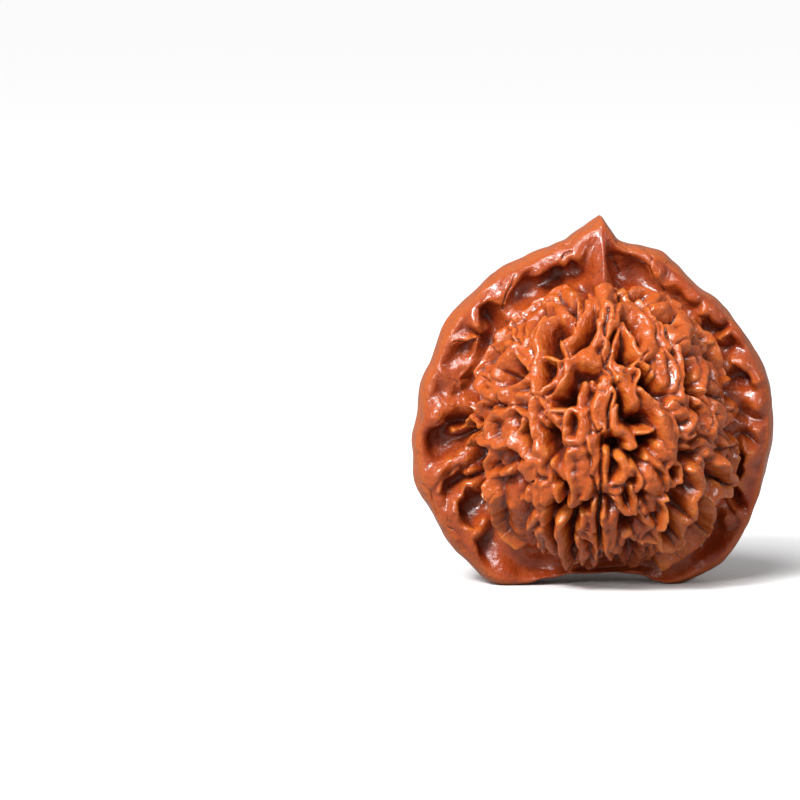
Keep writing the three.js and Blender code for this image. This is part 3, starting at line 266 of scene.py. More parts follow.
    [0.8, 0.6, 620, 560, 627, 567], [1.0, 0.7, 637, 541, 644, 534]
  ]
}

# ledges of the near belly that hang over, in the same form
curtains = [
  [1.8, 0.8, 493, 480, 497, 492, 499, 505, 500, 518, 498, 531, 504, 545, 513, 553],
  [1.9, 0.75, 666, 496, 660, 501, 664, 509, 663, 516, 657, 526, 657, 537, 645, 543],
  [2.0, 0.8, 692, 466, 697, 474, 700, 485, 692, 495, 690, 508, 689, 514, 680, 521, 678, 533, 671, 541,
    658, 545],
  [2.1, 0.95, 716, 461, 721, 472, 726, 481, 714, 491, 705, 499, 703, 511, 704, 524, 703, 533, 691, 546,
    685, 559, 674, 565, 660, 563], [1.6, 0.8, 733, 457, 736, 466, 733, 474]
]

wingRibs = {
  "left": [
    [1.1, 0.7, 556, 246, 545, 252, 530, 262, 518, 270, 510, 281, 505, 290, 500, 298],
    [1.1, 1.1, 560, 256, 568, 251, 577, 250], [0.8, 1.1, 540, 268, 552, 260],
    [0.9, 0.6, 500, 298, 490, 297, 480, 302, 475, 308, 477, 318, 478, 326],
    [1.1, 0.6, 465, 303, 469, 311, 471, 320, 476, 328], [0.8, 0.8, 502, 302, 506, 311, 511, 319],
    [0.7, 0.4, 440, 343, 450, 340, 462, 340, 472, 337],
    [0.7, 0.6, 474, 340, 476, 350, 470, 358, 461, 364, 455, 372, 452, 379],
    [0.6, 0.4, 437, 366, 442, 372, 451, 377], [0.6, 0.5, 452, 380, 451, 391, 446, 399],
    [0.9, 0.6, 473, 362, 465, 368, 458, 378, 459, 388, 465, 394],
    [0.5, 0.5, 441, 345, 438, 356, 437, 366], [0.5, 0.4, 425, 382, 432, 376, 437, 368],
    [1.4, 0.8, 421, 419, 430, 412, 441, 406, 452, 402, 464, 401, 474, 406],
    [0.7, 0.6, 418, 430, 423, 424, 432, 420, 442, 417],
    [0.8, 0.4, 452, 429, 462, 430, 472, 428, 480, 424],
    [1.3, 0.7, 431, 484, 436, 475, 444, 467, 453, 461, 464, 457, 476, 453, 486, 450],
    [1.0, 0.4, 438, 490, 442, 480, 450, 471, 458, 467], [1.0, 0.5, 468, 470, 478, 466, 486, 465],
    [1.2, 0.7, 477, 486, 468, 490, 459, 495, 452, 503, 451, 512, 455, 522, 461, 530, 470, 534, 478, 530,
      486, 522], [0.8, 0.6, 465, 534, 470, 545, 474, 556, 478, 566],
    [0.7, 0.6, 441, 500, 442, 512, 447, 526, 454, 538]
  ],
  "right": [
    [0.9, 0.9, 646, 252, 652, 262, 658, 274, 668, 282], [0.8, 0.9, 672, 282, 684, 283, 695, 291],
    [1.2, 0.8, 694, 318, 700, 312, 707, 308, 713, 310, 717, 317],
    [0.9, 0.5, 713, 310, 722, 317, 731, 319], [0.9, 0.5, 722, 338, 732, 333, 742, 338, 750, 346],
    [1.2, 0.7, 727, 366, 735, 360, 745, 360, 753, 366, 757, 378],
    [0.9, 0.7, 753, 350, 757, 359, 753, 366], [0.8, 1.0, 738, 394, 747, 396, 754, 403],
    [0.6, 0.8, 738, 424, 746, 426, 756, 432],
    [1.5, 0.7, 738, 445, 745, 449, 750, 455, 748, 465, 748, 478, 741, 488],
    [0.7, 0.8, 706, 504, 716, 504, 724, 510, 727, 518], [0.6, 0.5, 730, 502, 738, 512, 743, 522]
  ]
}

bellyPits = [
  [2.2, 1.3, 552, 325, 551, 340, 554, 354], [1.1, 0.8, 574, 303, 569, 315, 568, 328],
  [1.5, 0.7, 594, 324, 588, 335, 581, 346], [1.4, 0.7, 514, 355, 518, 364, 524, 374],
  [1.2, 0.6, 509, 362, 507, 374], [1.5, 1.0, 507, 372, 513, 380, 521, 380],
  [1.6, 0.7, 546, 368, 546, 379, 543, 389], [2.2, 1.0, 565, 384, 569, 393, 564, 402],
  [1.4, 0.9, 576, 369, 584, 376, 595, 371], [2.6, 0.9, 621, 339, 619, 350, 624, 360],
  [1.2, 0.7, 628, 322, 633, 332, 641, 344], [1.7, 0.6, 655, 331, 652, 346, 647, 358],
  [0.9, 0.5, 637, 296, 646, 300], [2.0, 0.9, 688, 360, 688, 373, 688, 384],
  [1.4, 0.8, 697, 366, 697, 378, 697, 390], [1.3, 0.5, 692, 335, 697, 342],
  [1.0, 0.5, 714, 352, 715, 361], [1.5, 0.9, 514, 415, 519, 425, 527, 435],
  [1.5, 0.5, 528, 431, 528, 442, 530, 451], [2.2, 1.0, 513, 455, 521, 456],
  [1.5, 1.0, 550, 429, 552, 442, 553, 456], [1.2, 0.5, 481, 407, 484, 415],
  [1.0, 0.5, 488, 401, 496, 405, 503, 409], [1.3, 0.5, 576, 413, 578, 424, 577, 435],
  [0.8, 0.4, 592, 388, 593, 399], [2.4, 1.5, 622, 405, 632, 412, 645, 422],
  [2.0, 0.8, 641, 376, 643, 388, 640, 400], [1.8, 0.9, 650, 380, 656, 390, 665, 397],
  [2.7, 0.9, 642, 440, 650, 441], [2.7, 1.0, 611, 448, 619, 448, 627, 452],
  [1.8, 0.9, 634, 456, 642, 464], [1.6, 0.8, 699, 404, 700, 416], [1.1, 0.6, 690, 452, 696, 455],
  [0.9, 0.7, 612, 462, 615, 474], [1.0, 0.5, 622, 496, 624, 505], [1.2, 0.7, 608, 504, 612, 513],
  [1.6, 0.9, 578, 512, 587, 508], [1.3, 0.6, 574, 518, 573, 532, 574, 546],
  [1.5, 0.8, 630, 526, 629, 537], [0.9, 0.5, 638, 491, 640, 500], [1.8, 1.0, 508, 483, 520, 488],
  [1.4, 0.6, 519, 490, 517, 505, 523, 514], [1.3, 0.8, 528, 541, 533, 549],
  [2.0, 1.0, 551, 511, 565, 511], [1.7, 0.7, 560, 485, 566, 494], [1.2, 0.6, 551, 527, 550, 545],
  [1.6, 0.9, 671, 494, 671, 506, 668, 518], [1.2, 0.7, 706, 470, 706, 480],
  [1.3, 0.7, 693, 520, 696, 532], [1.1, 0.7, 675, 468, 677, 476], [1.0, 0.8, 664, 530, 670, 528],
  [0.9, 0.7, 614, 563, 622, 560], [1.3, 0.8, 652, 572, 662, 572], [1.2, 0.5, 686, 462, 690, 474],
  [1.4, 0.7, 545, 566, 556, 567], [1.0, 0.6, 575, 556, 577, 562], [0.8, 0.6, 497, 471, 505, 467],
  [1.3, 0.8, 718, 392, 717, 400]
]

bellyCreases = [
  [1.1, 0.3, 606, 276, 608, 285, 613, 287, 617, 291], [1.3, 0.3, 607, 311, 608, 320, 605, 328, 604, 336],
  [1.3, 0.32, 615, 329, 612, 340, 609, 352, 607, 361],
  [0.9, 0.25, 603, 341, 600, 351, 603, 361, 606, 369],
  [1.1, 0.3, 604, 360, 606, 369, 611, 372, 614, 380, 615, 388],
  [1.3, 0.3, 613, 395, 610, 405, 608, 415, 608, 428], [0.9, 0.25, 590, 412, 592, 424, 597, 433, 603, 430],
  [1.1, 0.32, 602, 438, 602, 455, 601, 470, 601, 488, 600, 500],
  [1.5, 0.42, 600, 502, 599, 520, 599, 538, 600, 556, 600, 570],
  [0.7, 0.22, 603, 495, 610, 496, 618, 498], [0.6, 0.2, 583, 531, 590, 534, 596, 538],
  [0.9, 0.25, 579, 304, 577, 315, 576, 328], [0.7, 0.25, 566, 343, 568, 352, 571, 358],
  [0.7, 0.25, 546, 405, 549, 408, 545, 414], [0.6, 0.22, 534, 395, 541, 396, 546, 404],
  [0.7, 0.25, 617, 302, 613, 312, 611, 321], [0.7, 0.25, 658, 318, 665, 327, 669, 338, 672, 350],
  [0.6, 0.22, 640, 300, 649, 311, 656, 323, 660, 336], [0.5, 0.2, 664, 349, 668, 360, 668, 373],
  [0.8, 0.25, 690, 325, 696, 335, 704, 345, 712, 351], [0.6, 0.22, 598, 391, 605, 392],
  [0.7, 0.25, 512, 322, 518, 330, 517, 339, 523, 347], [0.6, 0.22, 507, 326, 511, 336, 517, 344],
  [0.6, 0.22, 524, 324, 524, 336], [0.6, 0.22, 540, 318, 533, 328, 530, 338],
  [0.6, 0.22, 484, 376, 491, 381, 499, 385], [0.6, 0.22, 638, 509, 643, 514, 648, 519],
  [0.6, 0.22, 508, 404, 518, 406, 528, 408], [0.7, 0.25, 532, 483, 536, 481],
  [0.6, 0.22, 706, 400, 710, 410, 711, 420, 708, 430], [0.6, 0.22, 676, 402, 684, 407],
  [0.7, 0.25, 647, 352, 641, 360], [0.5, 0.2, 503, 480, 499, 492, 497, 505],
  [0.7, 0.25, 591, 478, 595, 488, 597, 500], [0.5, 0.2, 671, 345, 679, 341, 686, 343]
]

wingPits = [
  [1.3, 1.3, 520, 284, 533, 280, 547, 274], [1.2, 1.2, 550, 275, 560, 270, 571, 265],
  [1.1, 1.3, 622, 262, 632, 272, 642, 276], [0.5, 1.2, 668, 270, 680, 276],
  [1.3, 1.1, 492, 308, 487, 320, 486, 336], [0.7, 1.0, 452, 330, 462, 325, 470, 320],
  [0.8, 1.2, 462, 352], [0.9, 0.9, 468, 380], [0.5, 0.9, 445, 358], [0.5, 0.8, 443, 386, 440, 396],
  [1.4, 1.3, 433, 436, 446, 428, 460, 420, 472, 420], [1.0, 1.2, 440, 446, 458, 442, 474, 438],
  [1.0, 0.9, 454, 486, 463, 480, 474, 477], [1.7, 1.4, 466, 512, 478, 503, 486, 500],
  [1.1, 1.2, 486, 536, 487, 552], [0.5, 0.9, 452, 530, 460, 546], [1.0, 1.2, 706, 330, 722, 330],
  [0.8, 0.9, 724, 348, 736, 350], [0.5, 0.8, 742, 325, 738, 318], [1.2, 1.0, 742, 372, 738, 384],
  [0.9, 1.1, 748, 412, 744, 428], [1.7, 1.4, 738, 462, 730, 478], [1.1, 1.2, 722, 496, 733, 506],
  [1.0, 1.2, 712, 520, 706, 536], [0.5, 1.2, 735, 530, 722, 546], [0.7, 1.1, 520, 568, 540, 570],
  [0.8, 1.2, 690, 570, 668, 574]
]

wingCreases = [
  [0.7, 0.2, 581, 233, 575, 238, 571, 243, 572, 250], [0.6, 0.2, 571, 243, 563, 245, 557, 249],
  [0.7, 0.2, 572, 250, 566, 252, 561, 257], [0.7, 0.22, 618, 241, 626, 248, 629, 256, 638, 262, 651, 268],
  [0.7, 0.22, 651, 268, 654, 275, 659, 284, 664, 290], [0.6, 0.2, 651, 268, 651, 258, 646, 249],
  [0.6, 0.2, 511, 283, 505, 290, 500, 299, 504, 308], [0.5, 0.2, 613, 252, 614, 262, 621, 274],
  [0.5, 0.18, 423, 484, 431, 492, 432, 503, 437, 515], [0.5, 0.18, 432, 503, 441, 520, 452, 528],
  [0.5, 0.18, 474, 338, 464, 341, 452, 342], [0.4, 0.18, 506, 268, 516, 276, 510, 283]
]

sideFolds = [
  [510, 322], [490, 347], [471, 366], [478, 386], [475, 412], [487, 428], [470, 443], [487, 468],
  [492, 500], [499, 530], [521, 556], [545, 568], [569, 573], [589, 573], [610, 572], [637, 571],
  [663, 567], [690, 550], [704, 524], [714, 498], [727, 484], [738, 446], [729, 432], [737, 408],
  [737, 376], [728, 355], [705, 331], [688, 316]
]


def fade(x):
    return x * x * (3 - 2 * x)


def riseBetween(low, high, x):
    return fade(np.clip((x - low) / (high - low), 0, 1))


def latticeValue(i, j, k, seed):
    wordMask = 0xFFFFFFFF
    h = (i * 374761393 + j * 668265263 + k * 1274126177 + seed * 974634777) & wordMask
    h = ((h ^ (h >> 13)) * 1103515245) & wordMask
    return (h ^ (h >> 16)) / 2147483648 - 1


def noise(points, size, seed):
    scaled = points / size
    low = np.floor(scaled)
    part = fade(scaled - low)
    low = low.astype(np.int64)
    total = np.zeros(len(points))
    for corner in range(8):
        step = (corner & 1, (corner >> 1) & 1, corner >> 2)
        share = np.ones(len(points))
        for axis in range(3):
            share *= part[:, axis] if step[axis] else 1 - part[:, axis]
        total += share * latticeValue(low[:, 0] + step[0], low[:, 1] + step[1], low[:, 2] + step[2], seed)
    return total


def unit(vectors):
    return vectors / np.linalg.norm(vectors, axis=-1, keepdims=True)


# smooth curve through knots; values has one row for each knot and may differ from point to point
def throughKnots(places, values, at):
    i = np.clip(np.searchsorted(places, at, side="left") - 1, 1, len(places) - 3)
    column = np.arange(len(at)) if values.ndim == 2 else None
    pick = (lambda row: values[row, column]) if values.ndim == 2 else (lambda row: values[row])
    before, start, end, after = pick(i - 1), pick(i), pick(i + 1), pick(i + 2)
    span = places[i + 1] - places[i]
    x = (at - places[i]) / span
    slopeStart = (end - before) / (places[i + 1] - places[i - 1]) * span
    slopeEnd = (after - start) / (places[i + 2] - places[i]) * span
    bend = (slopeStart + slopeEnd - 2 * (end - start)) * x
    return start + x * (slopeStart + x * (3 * (end - start) - 2 * slopeStart - slopeEnd + bend))


turn, drop = sightLine["turn"], sightLine["drop"]
forward = np.array([
    math.sin(turn) * math.cos(drop), math.cos(turn) * math.cos(drop), -math.sin(drop)
])
rightward = np.array([math.cos(turn), -math.sin(turn), 0.0])
upward = np.cross(rightward, forward)
focal = sightLine["distance"] * sightLine["pixelsPerMillimetre"]
sideways = (sightLine["nutMiddle"] - sightLine["frameMiddle"]) / sightLine["pixelsPerMillimetre"]
eye = np.array([0, 0, sightLine["middleHeight"]]) - sightLine["distance"] * forward - sideways * rightward


def seenAt(points):
    offset = points - eye
    scale = focal / (offset @ forward)
    middle = sightLine["frameMiddle"]
    return np.stack([middle + scale * (offset @ rightward), middle - scale * (offset @ upward)], axis=1)


def onSeamPlane(x, y):
    middle = sightLine["frameMiddle"]
    ray = forward + rightward * (x - middle) / focal + upward * (middle - y) / focal
    return eye - ray * eye[1] / ray[1]


# reach of the rim from the belly's centre, by direction in the seam plane
centreX, centreZ = nutForm["bellyCentre"]
rimOffsets = [onSeamPlane(x, y) - np.array([centreX, 0, centreZ]) for x, y in rimPoints]
rimKnots = sorted((math.atan2(up, across), math.hypot(across, up)) for across, unused, up in rimOffsets)
rimRound = [(a - 2 * math.pi, r) for a, r in rimKnots[-3:]] + rimKnots \
    + [(a + 2 * math.pi, r) for a, r in rimKnots[:3]]
rimAngles = np.array([a for a, r in rimRound])
rimReaches = np.array([r for a, r in rimRound])

footAngle = math.acos(nutForm["footHalfThickness"] / nutForm["bellyHalfThickness"])
footPlace = 0.69
ellipseSteps = 5


def sectionKnots(reach, rim):
    wing = rim - reach
    places, outs, halves = [], [], []
    for step in range(-1, ellipseSteps + 1):
        angle = footAngle * step / ellipseSteps
        places.append(footPlace * step / ellipseSteps)
        outs.append(reach * math.sin(angle))
        halves.append(nutForm["bellyHalfThickness"] * math.cos(angle) + 0 * reach)
    valley, lip = nutForm["valleyHalfThickness"], nutForm["lipHalfThickness"]
    edge = nutForm["rimHalfThickness"]
    for place, out, half in (
        (0.77, reach + 0.16 * wing, valley + 0.25),
        (0.84, reach + 0.42 * wing, valley),
        (0.9, reach + 0.7 * wing, lip),
        (0.955, rim - 0.09 * wing, edge),
        (1.0, rim, 0.0),
        (1.045, rim - 0.09 * wing, -edge),
    ):
        places.append(place)
        outs.append(out)
        halves.append(half + 0 * reach)
    return np.array(places), np.array(outs), np.array(halves)


def placeOf(directions):
    return np.arcsin(np.minimum(1, np.hypot(directions[:, 0], directions[:, 2]))) * 2 / math.pi


# smooth body without relief, one point for each direction
def bodyPoints(directions):
    angle = np.arctan2(directions[:, 2], directions[:, 0])
    wide, high = nutForm["bellyHalfWidth"], nutForm["bellyHalfHeight"]
    reach = wide * high / np.hypot(high * np.cos(angle), wide * np.sin(angle))
    rim = throughKnots(rimAngles, rimReaches, angle)
    places, outs, halves = sectionKnots(reach, rim)
    place = placeOf(directions)
    out = throughKnots(places, outs, place)
    half = throughKnots(places, halves, place)
    x = centreX + out * np.cos(angle)
    z = centreZ + out * np.sin(angle)
    inside = np.maximum(0, rim - out)
    away = x - nutForm["keelMiddle"] - nutForm["keelLean"] * inside
    side = (away > 0).astype(int)
    flare = nutForm["keelFlare"] * riseBetween(4.5, 8.5, inside)
    face = np.array(nutForm["keelWidth"])[side] + np.array(nutForm["keelSpread"])[side] * inside + flare
    beside = np.abs(away) / face
    top = riseBetween(centreZ + 8, centreZ + 14, z)
    keel = top * nutForm["keelRise"] * inside ** nutForm["keelPower"]
    keel *= np.exp(-beside ** nutForm["keelShape"])
    thick = (half ** 4 + keel ** 4) ** 0.25
    return np.stack([x, np.where(directions[:, 1] < 0, -thick, thick), z], axis=1)


def outwardNormals(directions):
    probe = 0.03
    helper = np.where(np.abs(directions[:, 1:2]) < 0.8, [[0.0, 1.0, 0.0]], [[1.0, 0.0, 0.0]])
    first = unit(np.cross(helper, directions))
    second = np.cross(directions, first)
    alongFirst, alongSecond = (
        bodyPoints(unit(directions + probe * way)) - bodyPoints(unit(directions - probe * way))
        for way in (first, second)
    )
    return unit(np.cross(alongFirst, alongSecond))


def onBelly(directions):
    return 1 - riseBetween(*shellRelief["bellyEdge"], placeOf(directions))


# nought in the middle of a belly and on the wing, one on the steep flank between them
def flankShare(directions):
    return riseBetween(*shellRelief["flank"], placeOf(directions)) * onBelly(directions)


def offRim(directions):
    return 1 - riseBetween(*shellRelief["rimEdge"], placeOf(directions))


def floorAt(directions):
    belly, flank = onBelly(directions), flankShare(directions)
    low = shellRelief["bellyFloor"] * (1 - flank) + shellRelief["flankFloor"] * flank
    return shellRelief["wingFloor"] * (1 - belly) + low * belly


# way along the shell, outward and down, that the ridges of a belly droop
def droopAlong(start, normal):
    droop = np.stack([
        (start[:, 0] - centreX) / nutForm["bellyHalfWidth"],
        np.zeros(len(start)),
        (start[:, 2] - centreZ) / nutForm["bellyHalfHeight"] - 0.5,
    ], axis=1)
    return droop - normal * np.sum(droop * normal, axis=1, keepdims=True)


# surface raised by an amount; on the bellies the ridges droop
def raised(directions, amount):
    start = bodyPoints(directions)
    normal = outwardNormals(directions)
    droop = droopAlong(start, normal)
    above = np.maximum(0, amount - floorAt(directions)) * onBelly(directions)
    flank = flankShare(directions)
    lean = shellRelief["droop"] * (1 - flank) + shellRelief["flankDroop"] * flank
    points = start + normal * np.reshape(amount, (-1, 1)) + droop * (lean * above)[:, None]
    points[:, 2] = np.maximum(0, points[:, 2])
    return points


def polarDirections(places, angles):
    polar = np.asarray(places) * math.pi / 2
    around = np.sin(polar)
    return np.stack([around * np.cos(angles), -np.cos(polar), around * np.sin(angles)], axis=-1)


# directions whose ridge tops are seen at measured points
def sightTable(fromPlace, toPlace, placeSteps, angleSteps, amount):
    rows = fromPlace + (toPlace - fromPlace) * np.arange(placeSteps + 1) / placeSteps
    places = np.repeat(rows, angleSteps)
    angles = np.tile(np.arange(angleSteps) * 2 * math.pi / angleSteps, placeSteps + 1)
    directions = polarDirections(places, angles)
    return directions, seenAt(raised(directions, np.full(len(directions), amount)))


bellySights = sightTable(0, 0.7, 90, 240, shellRelief["ridgeHeight"])
wingSights = sightTable(0.74, 0.97, 24, 300, shellRelief["wingFloor"])


def directionsSeenAt(table, flat):
    directions, at = table
    found = []
    for x, y in zip(flat[0::2], flat[1::2]):
        found.append(directions[np.argmin((at[:, 0] - x) ** 2 + (at[:, 1] - y) ** 2)])
    return np.array(found)


# the far side: belly ridges turned end for end and drawn a little, wing ribs opposite their fellows
def farBelly(d):
    return unit(np.stack([
        -d[:, 0] + 0.09 * np.sin(4 * d[:, 2] + 1), -d[:, 1], -d[:, 2] + 0.09 * np.sin(5 * d[:, 0] + 2)
    ], axis=1))


def farWing(d):
    shift = 0.1 + 0.07 * np.sin(3 * np.arctan2(d[:, 2], d[:, 0]))
    cos, sin = np.cos(shift), np.sin(shift)
    return np.stack([cos * d[:, 0] + sin * d[:, 2], -d[:, 1], cos * d[:, 2] - sin * d[:, 0]], axis=1)


ridges = []


# on the flanks a ridge is seen from the side, so it is broader than it looks
def addRidge(height, half, directions, lopsided=shellRelief["lopsided"]):
    points = bodyPoints(directions)
    flank = flankShare(directions).mean()
    half *= 1 + shellRelief["flankWiden"] * flank
    height += shellRelief["flankContrast"] * flank * (height - shellRelief["ridgeHeight"])
    middle = points.mean(axis=0)
    reach = np.linalg.norm(points - middle, axis=1).max() + 3 * half
    ridges.append((height, half, lopsided, points, middle, reach))


for groups, table, farSide, widen, least in (
    (bellyRidges, bellySights, farBelly, shellRelief["widthScale"], shellRelief["narrowest"]),
    (wingRibs, wingSights, farWing, shellRelief["wingRibWidth"], 0),
):
    for rows in groups.values():
        for height, half, *flat in rows:
            directions = directionsSeenAt(table, flat)
            for placed in (directions, farSide(directions)):
                addRidge(height, max(half, least) * widen, placed)

for height, half, *flat in curtains:
    directions = directionsSeenAt(bellySights, flat)
    for placed in (directions, farBelly(directions)):
        addRidge(height, half, placed, shellRelief["curtain"])

foldPlaces = np.array([0.58, 0.62, 0.66, 0.7, 0.73])
for index, (x, y) in enumerate(sideFolds):
    edge = directionsSeenAt(bellySights, (x, y))[0]
    angles = math.atan2(edge[2], edge[0]) + 0.035 * np.sin(2.1 * np.arange(len(foldPlaces)) + index)
    directions = polarDirections(foldPlaces, angles)
    height = 0.6 + 0.4 * math.sin(1.7 * index)
    addRidge(height, 0.5, directions)
    addRidge(height, 0.5, -directions)

pits = []
creases = []
creaseScale = (shellRelief["creaseDepth"], shellRelief["creaseWidth"])
for cuts, rows, table, farSide, scales in (
    (pits, bellyPits, bellySights, farBelly, (shellRelief["pitDepth"], 1)),
    (pits, wingPits, wingSights, farWing, (shellRelief["wingDepth"], shellRelief["wingPitWidth"])),
    (creases, bellyCreases, bellySights, farBelly, creaseScale),
    (creases, wingCreases, wingSights, farWing, creaseScale),
):
    for depth, radius, *flat in rows:
        depth, radius = depth * scales[0], radius * scales[1]
        directions = directionsSeenAt(table, flat)
        for placed in (directions, farSide(directions)):
            path = bodyPoints(placed)
            middle = path.mean(axis=0)
            reach = np.linalg.norm(path - middle, axis=1).max() + 2.5 * radius
            cuts.append((depth, radius, path, middle, reach))
print("ridges, ribs and pits laid out:", len(ridges), "and", len(pits))


# distance of each point from a path, and how far it lies from it along its own droop
def pathDistance(path, points, droops=None):
    least = np.full(len(points), np.inf)
    below = np.zeros(len(points))
    ends = path[1:] if len(path) > 1 else path
    for start, end in zip(path, ends):
        along = end - start
        share = np.clip((points - start) @ along / max(along @ along, 1e-9), 0, 1)
        apart = points - start - share[:, None] * along
        distance = np.linalg.norm(apart, axis=1)
        if droops is not None:
            below = np.where(distance < least, np.sum(apart * droops, axis=1), below)
        least = np.minimum(least, distance)
    return least, below


# relief over the smooth body: floor and pits first, then the ridges, blended where they meet
def shellHeights(directions):
    points = bodyPoints(directions)
    bent = points + 0.35 * np.stack([noise(points, 3.1, seed) for seed in (1, 2, 3)], axis=1)
    wavy = bent + 0.3 * np.stack([noise(points, 1.3, seed) for seed in (11, 12, 13)], axis=1)
    peaks = shellRelief["peaks"] * noise(points, 1.7, 8)
    swell = 1 + shellRelief["swell"] * noise(points, 1.5, 14)
    droops = unit(droopAlong(points, outwardNormals(directions)) + 1e-9)
    flank = flankShare(directions)
    clear = offRim(directions)
    floor = floorAt(directions) + 0.3 * noise(points, 4.2, 4)
    for depth, radius, path, middle, reach in pits:
        close = np.flatnonzero(np.linalg.norm(bent - middle, axis=1) <= reach)
        near = pathDistance(path, bent[close])[0] / radius
        floor[close] -= clear[close] * depth * np.exp(-near * near)
    total = np.ones(len(points))
    for height, half, lopsided, path, middle, reach in ridges:
        close = np.flatnonzero(np.linalg.norm(bent - middle, axis=1) <= reach)
        distance, below = pathDistance(path, wavy[close], droops[close])
        width = half * swell[close] * (1 - lopsided * flank[close] * below / np.maximum(distance, 1e-6))
        near = distance / width
        side = np.exp(-near ** shellRelief["ridgeShape"])
        rise = clear[close] * (height + peaks[close] - floor[close]) * side
        total[close] += np.exp(shellRelief["blend"] * rise) - 1
    heights = floor + np.log(total) / shellRelief["blend"]
    heights += shellRelief["roughness"] * noise(points, 2.3, 5)
    cracked = points + 0.12 * np.stack([noise(points, 0.9, seed) for seed in (21, 22, 23)], axis=1)
    cut = np.zeros(len(points))
    for depth, radius, path, middle, reach in creases:
        close = np.flatnonzero(np.linalg.norm(cracked - middle, axis=1) <= reach)
        near = pathDistance(path, cracked[close])[0] / radius
        cut[close] = np.maximum(cut[close], depth * np.exp(-near * near))
    fine = (0.12 + 0.88 * onBelly(directions)) * (1 - 0.3 * flank)
    creased = np.abs(noise(bent, 1.9, 6)) - 0.3
    knobbly = np.abs(noise(points, 1.0, 9)) - 0.3
    lumps = shellRelief["lumps"] * creased + shellRelief["knobs"] * knobbly \
        + shellRelief["grains"] * noise(points, 0.55, 7)
    return heights + fine * lumps - cut, cut


# six square patches drawn over a ball of directions, their shared edges joined
def ballOfDirections(steps):
    line = np.tan((np.arange(steps + 1) / steps - 0.5) * math.pi / 2)
    across, along = np.meshgrid(line, line, indexing="ij")
    across, along, one = across.ravel(), along.ravel(), np.ones((steps + 1) ** 2)
    patches = [
        (one, across, along), (-one, along, across), (along, one, across),
        (across, -one, along), (across, along, one), (along, across, -one),
    ]
    cornerIndex = np.arange((steps + 1) ** 2).reshape(steps + 1, steps + 1)
    quads = np.stack([
        cornerIndex[:-1, :-1], cornerIndex[1:, :-1], cornerIndex[1:, 1:], cornerIndex[:-1, 1:]
    ], axis=-1).reshape(-1, 4)
    directions = np.concatenate([unit(np.stack(patch, axis=1)) for patch in patches])
    faces = np.concatenate([quads + index * len(one) for index in range(6)])
    keys = np.round(directions * 1e6).astype(np.int64)
    unused, first, joined = np.unique(keys, axis=0, return_index=True, return_inverse=True)
    return directions[first], joined.ravel()[faces]


def meshFrom(name, points, faces):
    mesh = bpy.data.meshes.new(name)
    mesh.vertices.add(len(points))
    mesh.vertices.foreach_set("co", points.ravel())
    mesh.loops.add(faces.size)
    mesh.loops.foreach_set("vertex_index", faces.ravel().astype(np.int32))
    mesh.polygons.add(len(faces))
    mesh.polygons.foreach_set("loop_start", np.arange(len(faces), dtype=np.int32) * faces.shape[1])
    mesh.update(calc_edges=True)
    mesh.validate()
    return mesh


def storeValues(mesh, name, values):
    layer = mesh.attributes.new(name, "FLOAT", "POINT")
    layer.data.foreach_set("value", values.astype(np.float32))


# each value drawn towards its neighbours', again and again
def smoothed(values, faces, rounds):
    starts = faces.ravel()
    ends = np.roll(faces, -1, axis=1).ravel()
    count = np.bincount(ends, minlength=len(values))
    for turn in range(rounds):
        values = 0.5 * (values + np.bincount(ends, values[starts], len(values)) / count)
    return values


def makeShell():
    directions, faces = ballOfDirections(shellRelief["gridSteps"])
    heights, cracks = shellHeights(directions)
    points = raised(directions, heights)
    print("shell points raised:", len(points))
    mesh = meshFrom("walnut_shell", points * mm, faces)
    near = smoothed(heights, faces, 12)
    level = floorAt(directions)
    storeValues(mesh, "rise", heights)
    storeValues(mesh, "crease", near - heights)
    storeValues(mesh, "hollow", smoothed(near - level, faces, 150) - (heights - level))
    storeValues(mesh, "crack", cracks)
    storeValues(mesh, "belly", onBelly(directions))
    storeValues(mesh, "rim", 1 - offRim(directions))
    shell = bpy.data.objects.new("walnut_shell", mesh)
    bpy.context.scene.collection.objects.link(shell)
    thin = shell.modifiers.new("fewer faces", "DECIMATE")
    thin.ratio = shellRelief["triangles"] / (2 * len(faces))
    thin.use_collapse_triangulate = True
    evaluated = shell.evaluated_get(bpy.context.evaluated_depsgraph_get())
    thinned = bpy.data.meshes.new_from_object(evaluated)
    shell.modifiers.clear()
    shell.data = thinned
    thinned.name = "walnut_shell"
    thinned.polygons.foreach_set("use_smooth", np.ones(len(thinned.polygons), bool))
    thinned.update()
    print("shell thinned to", len(thinned.polygons), "faces")
    return shell


shell = makeShell()


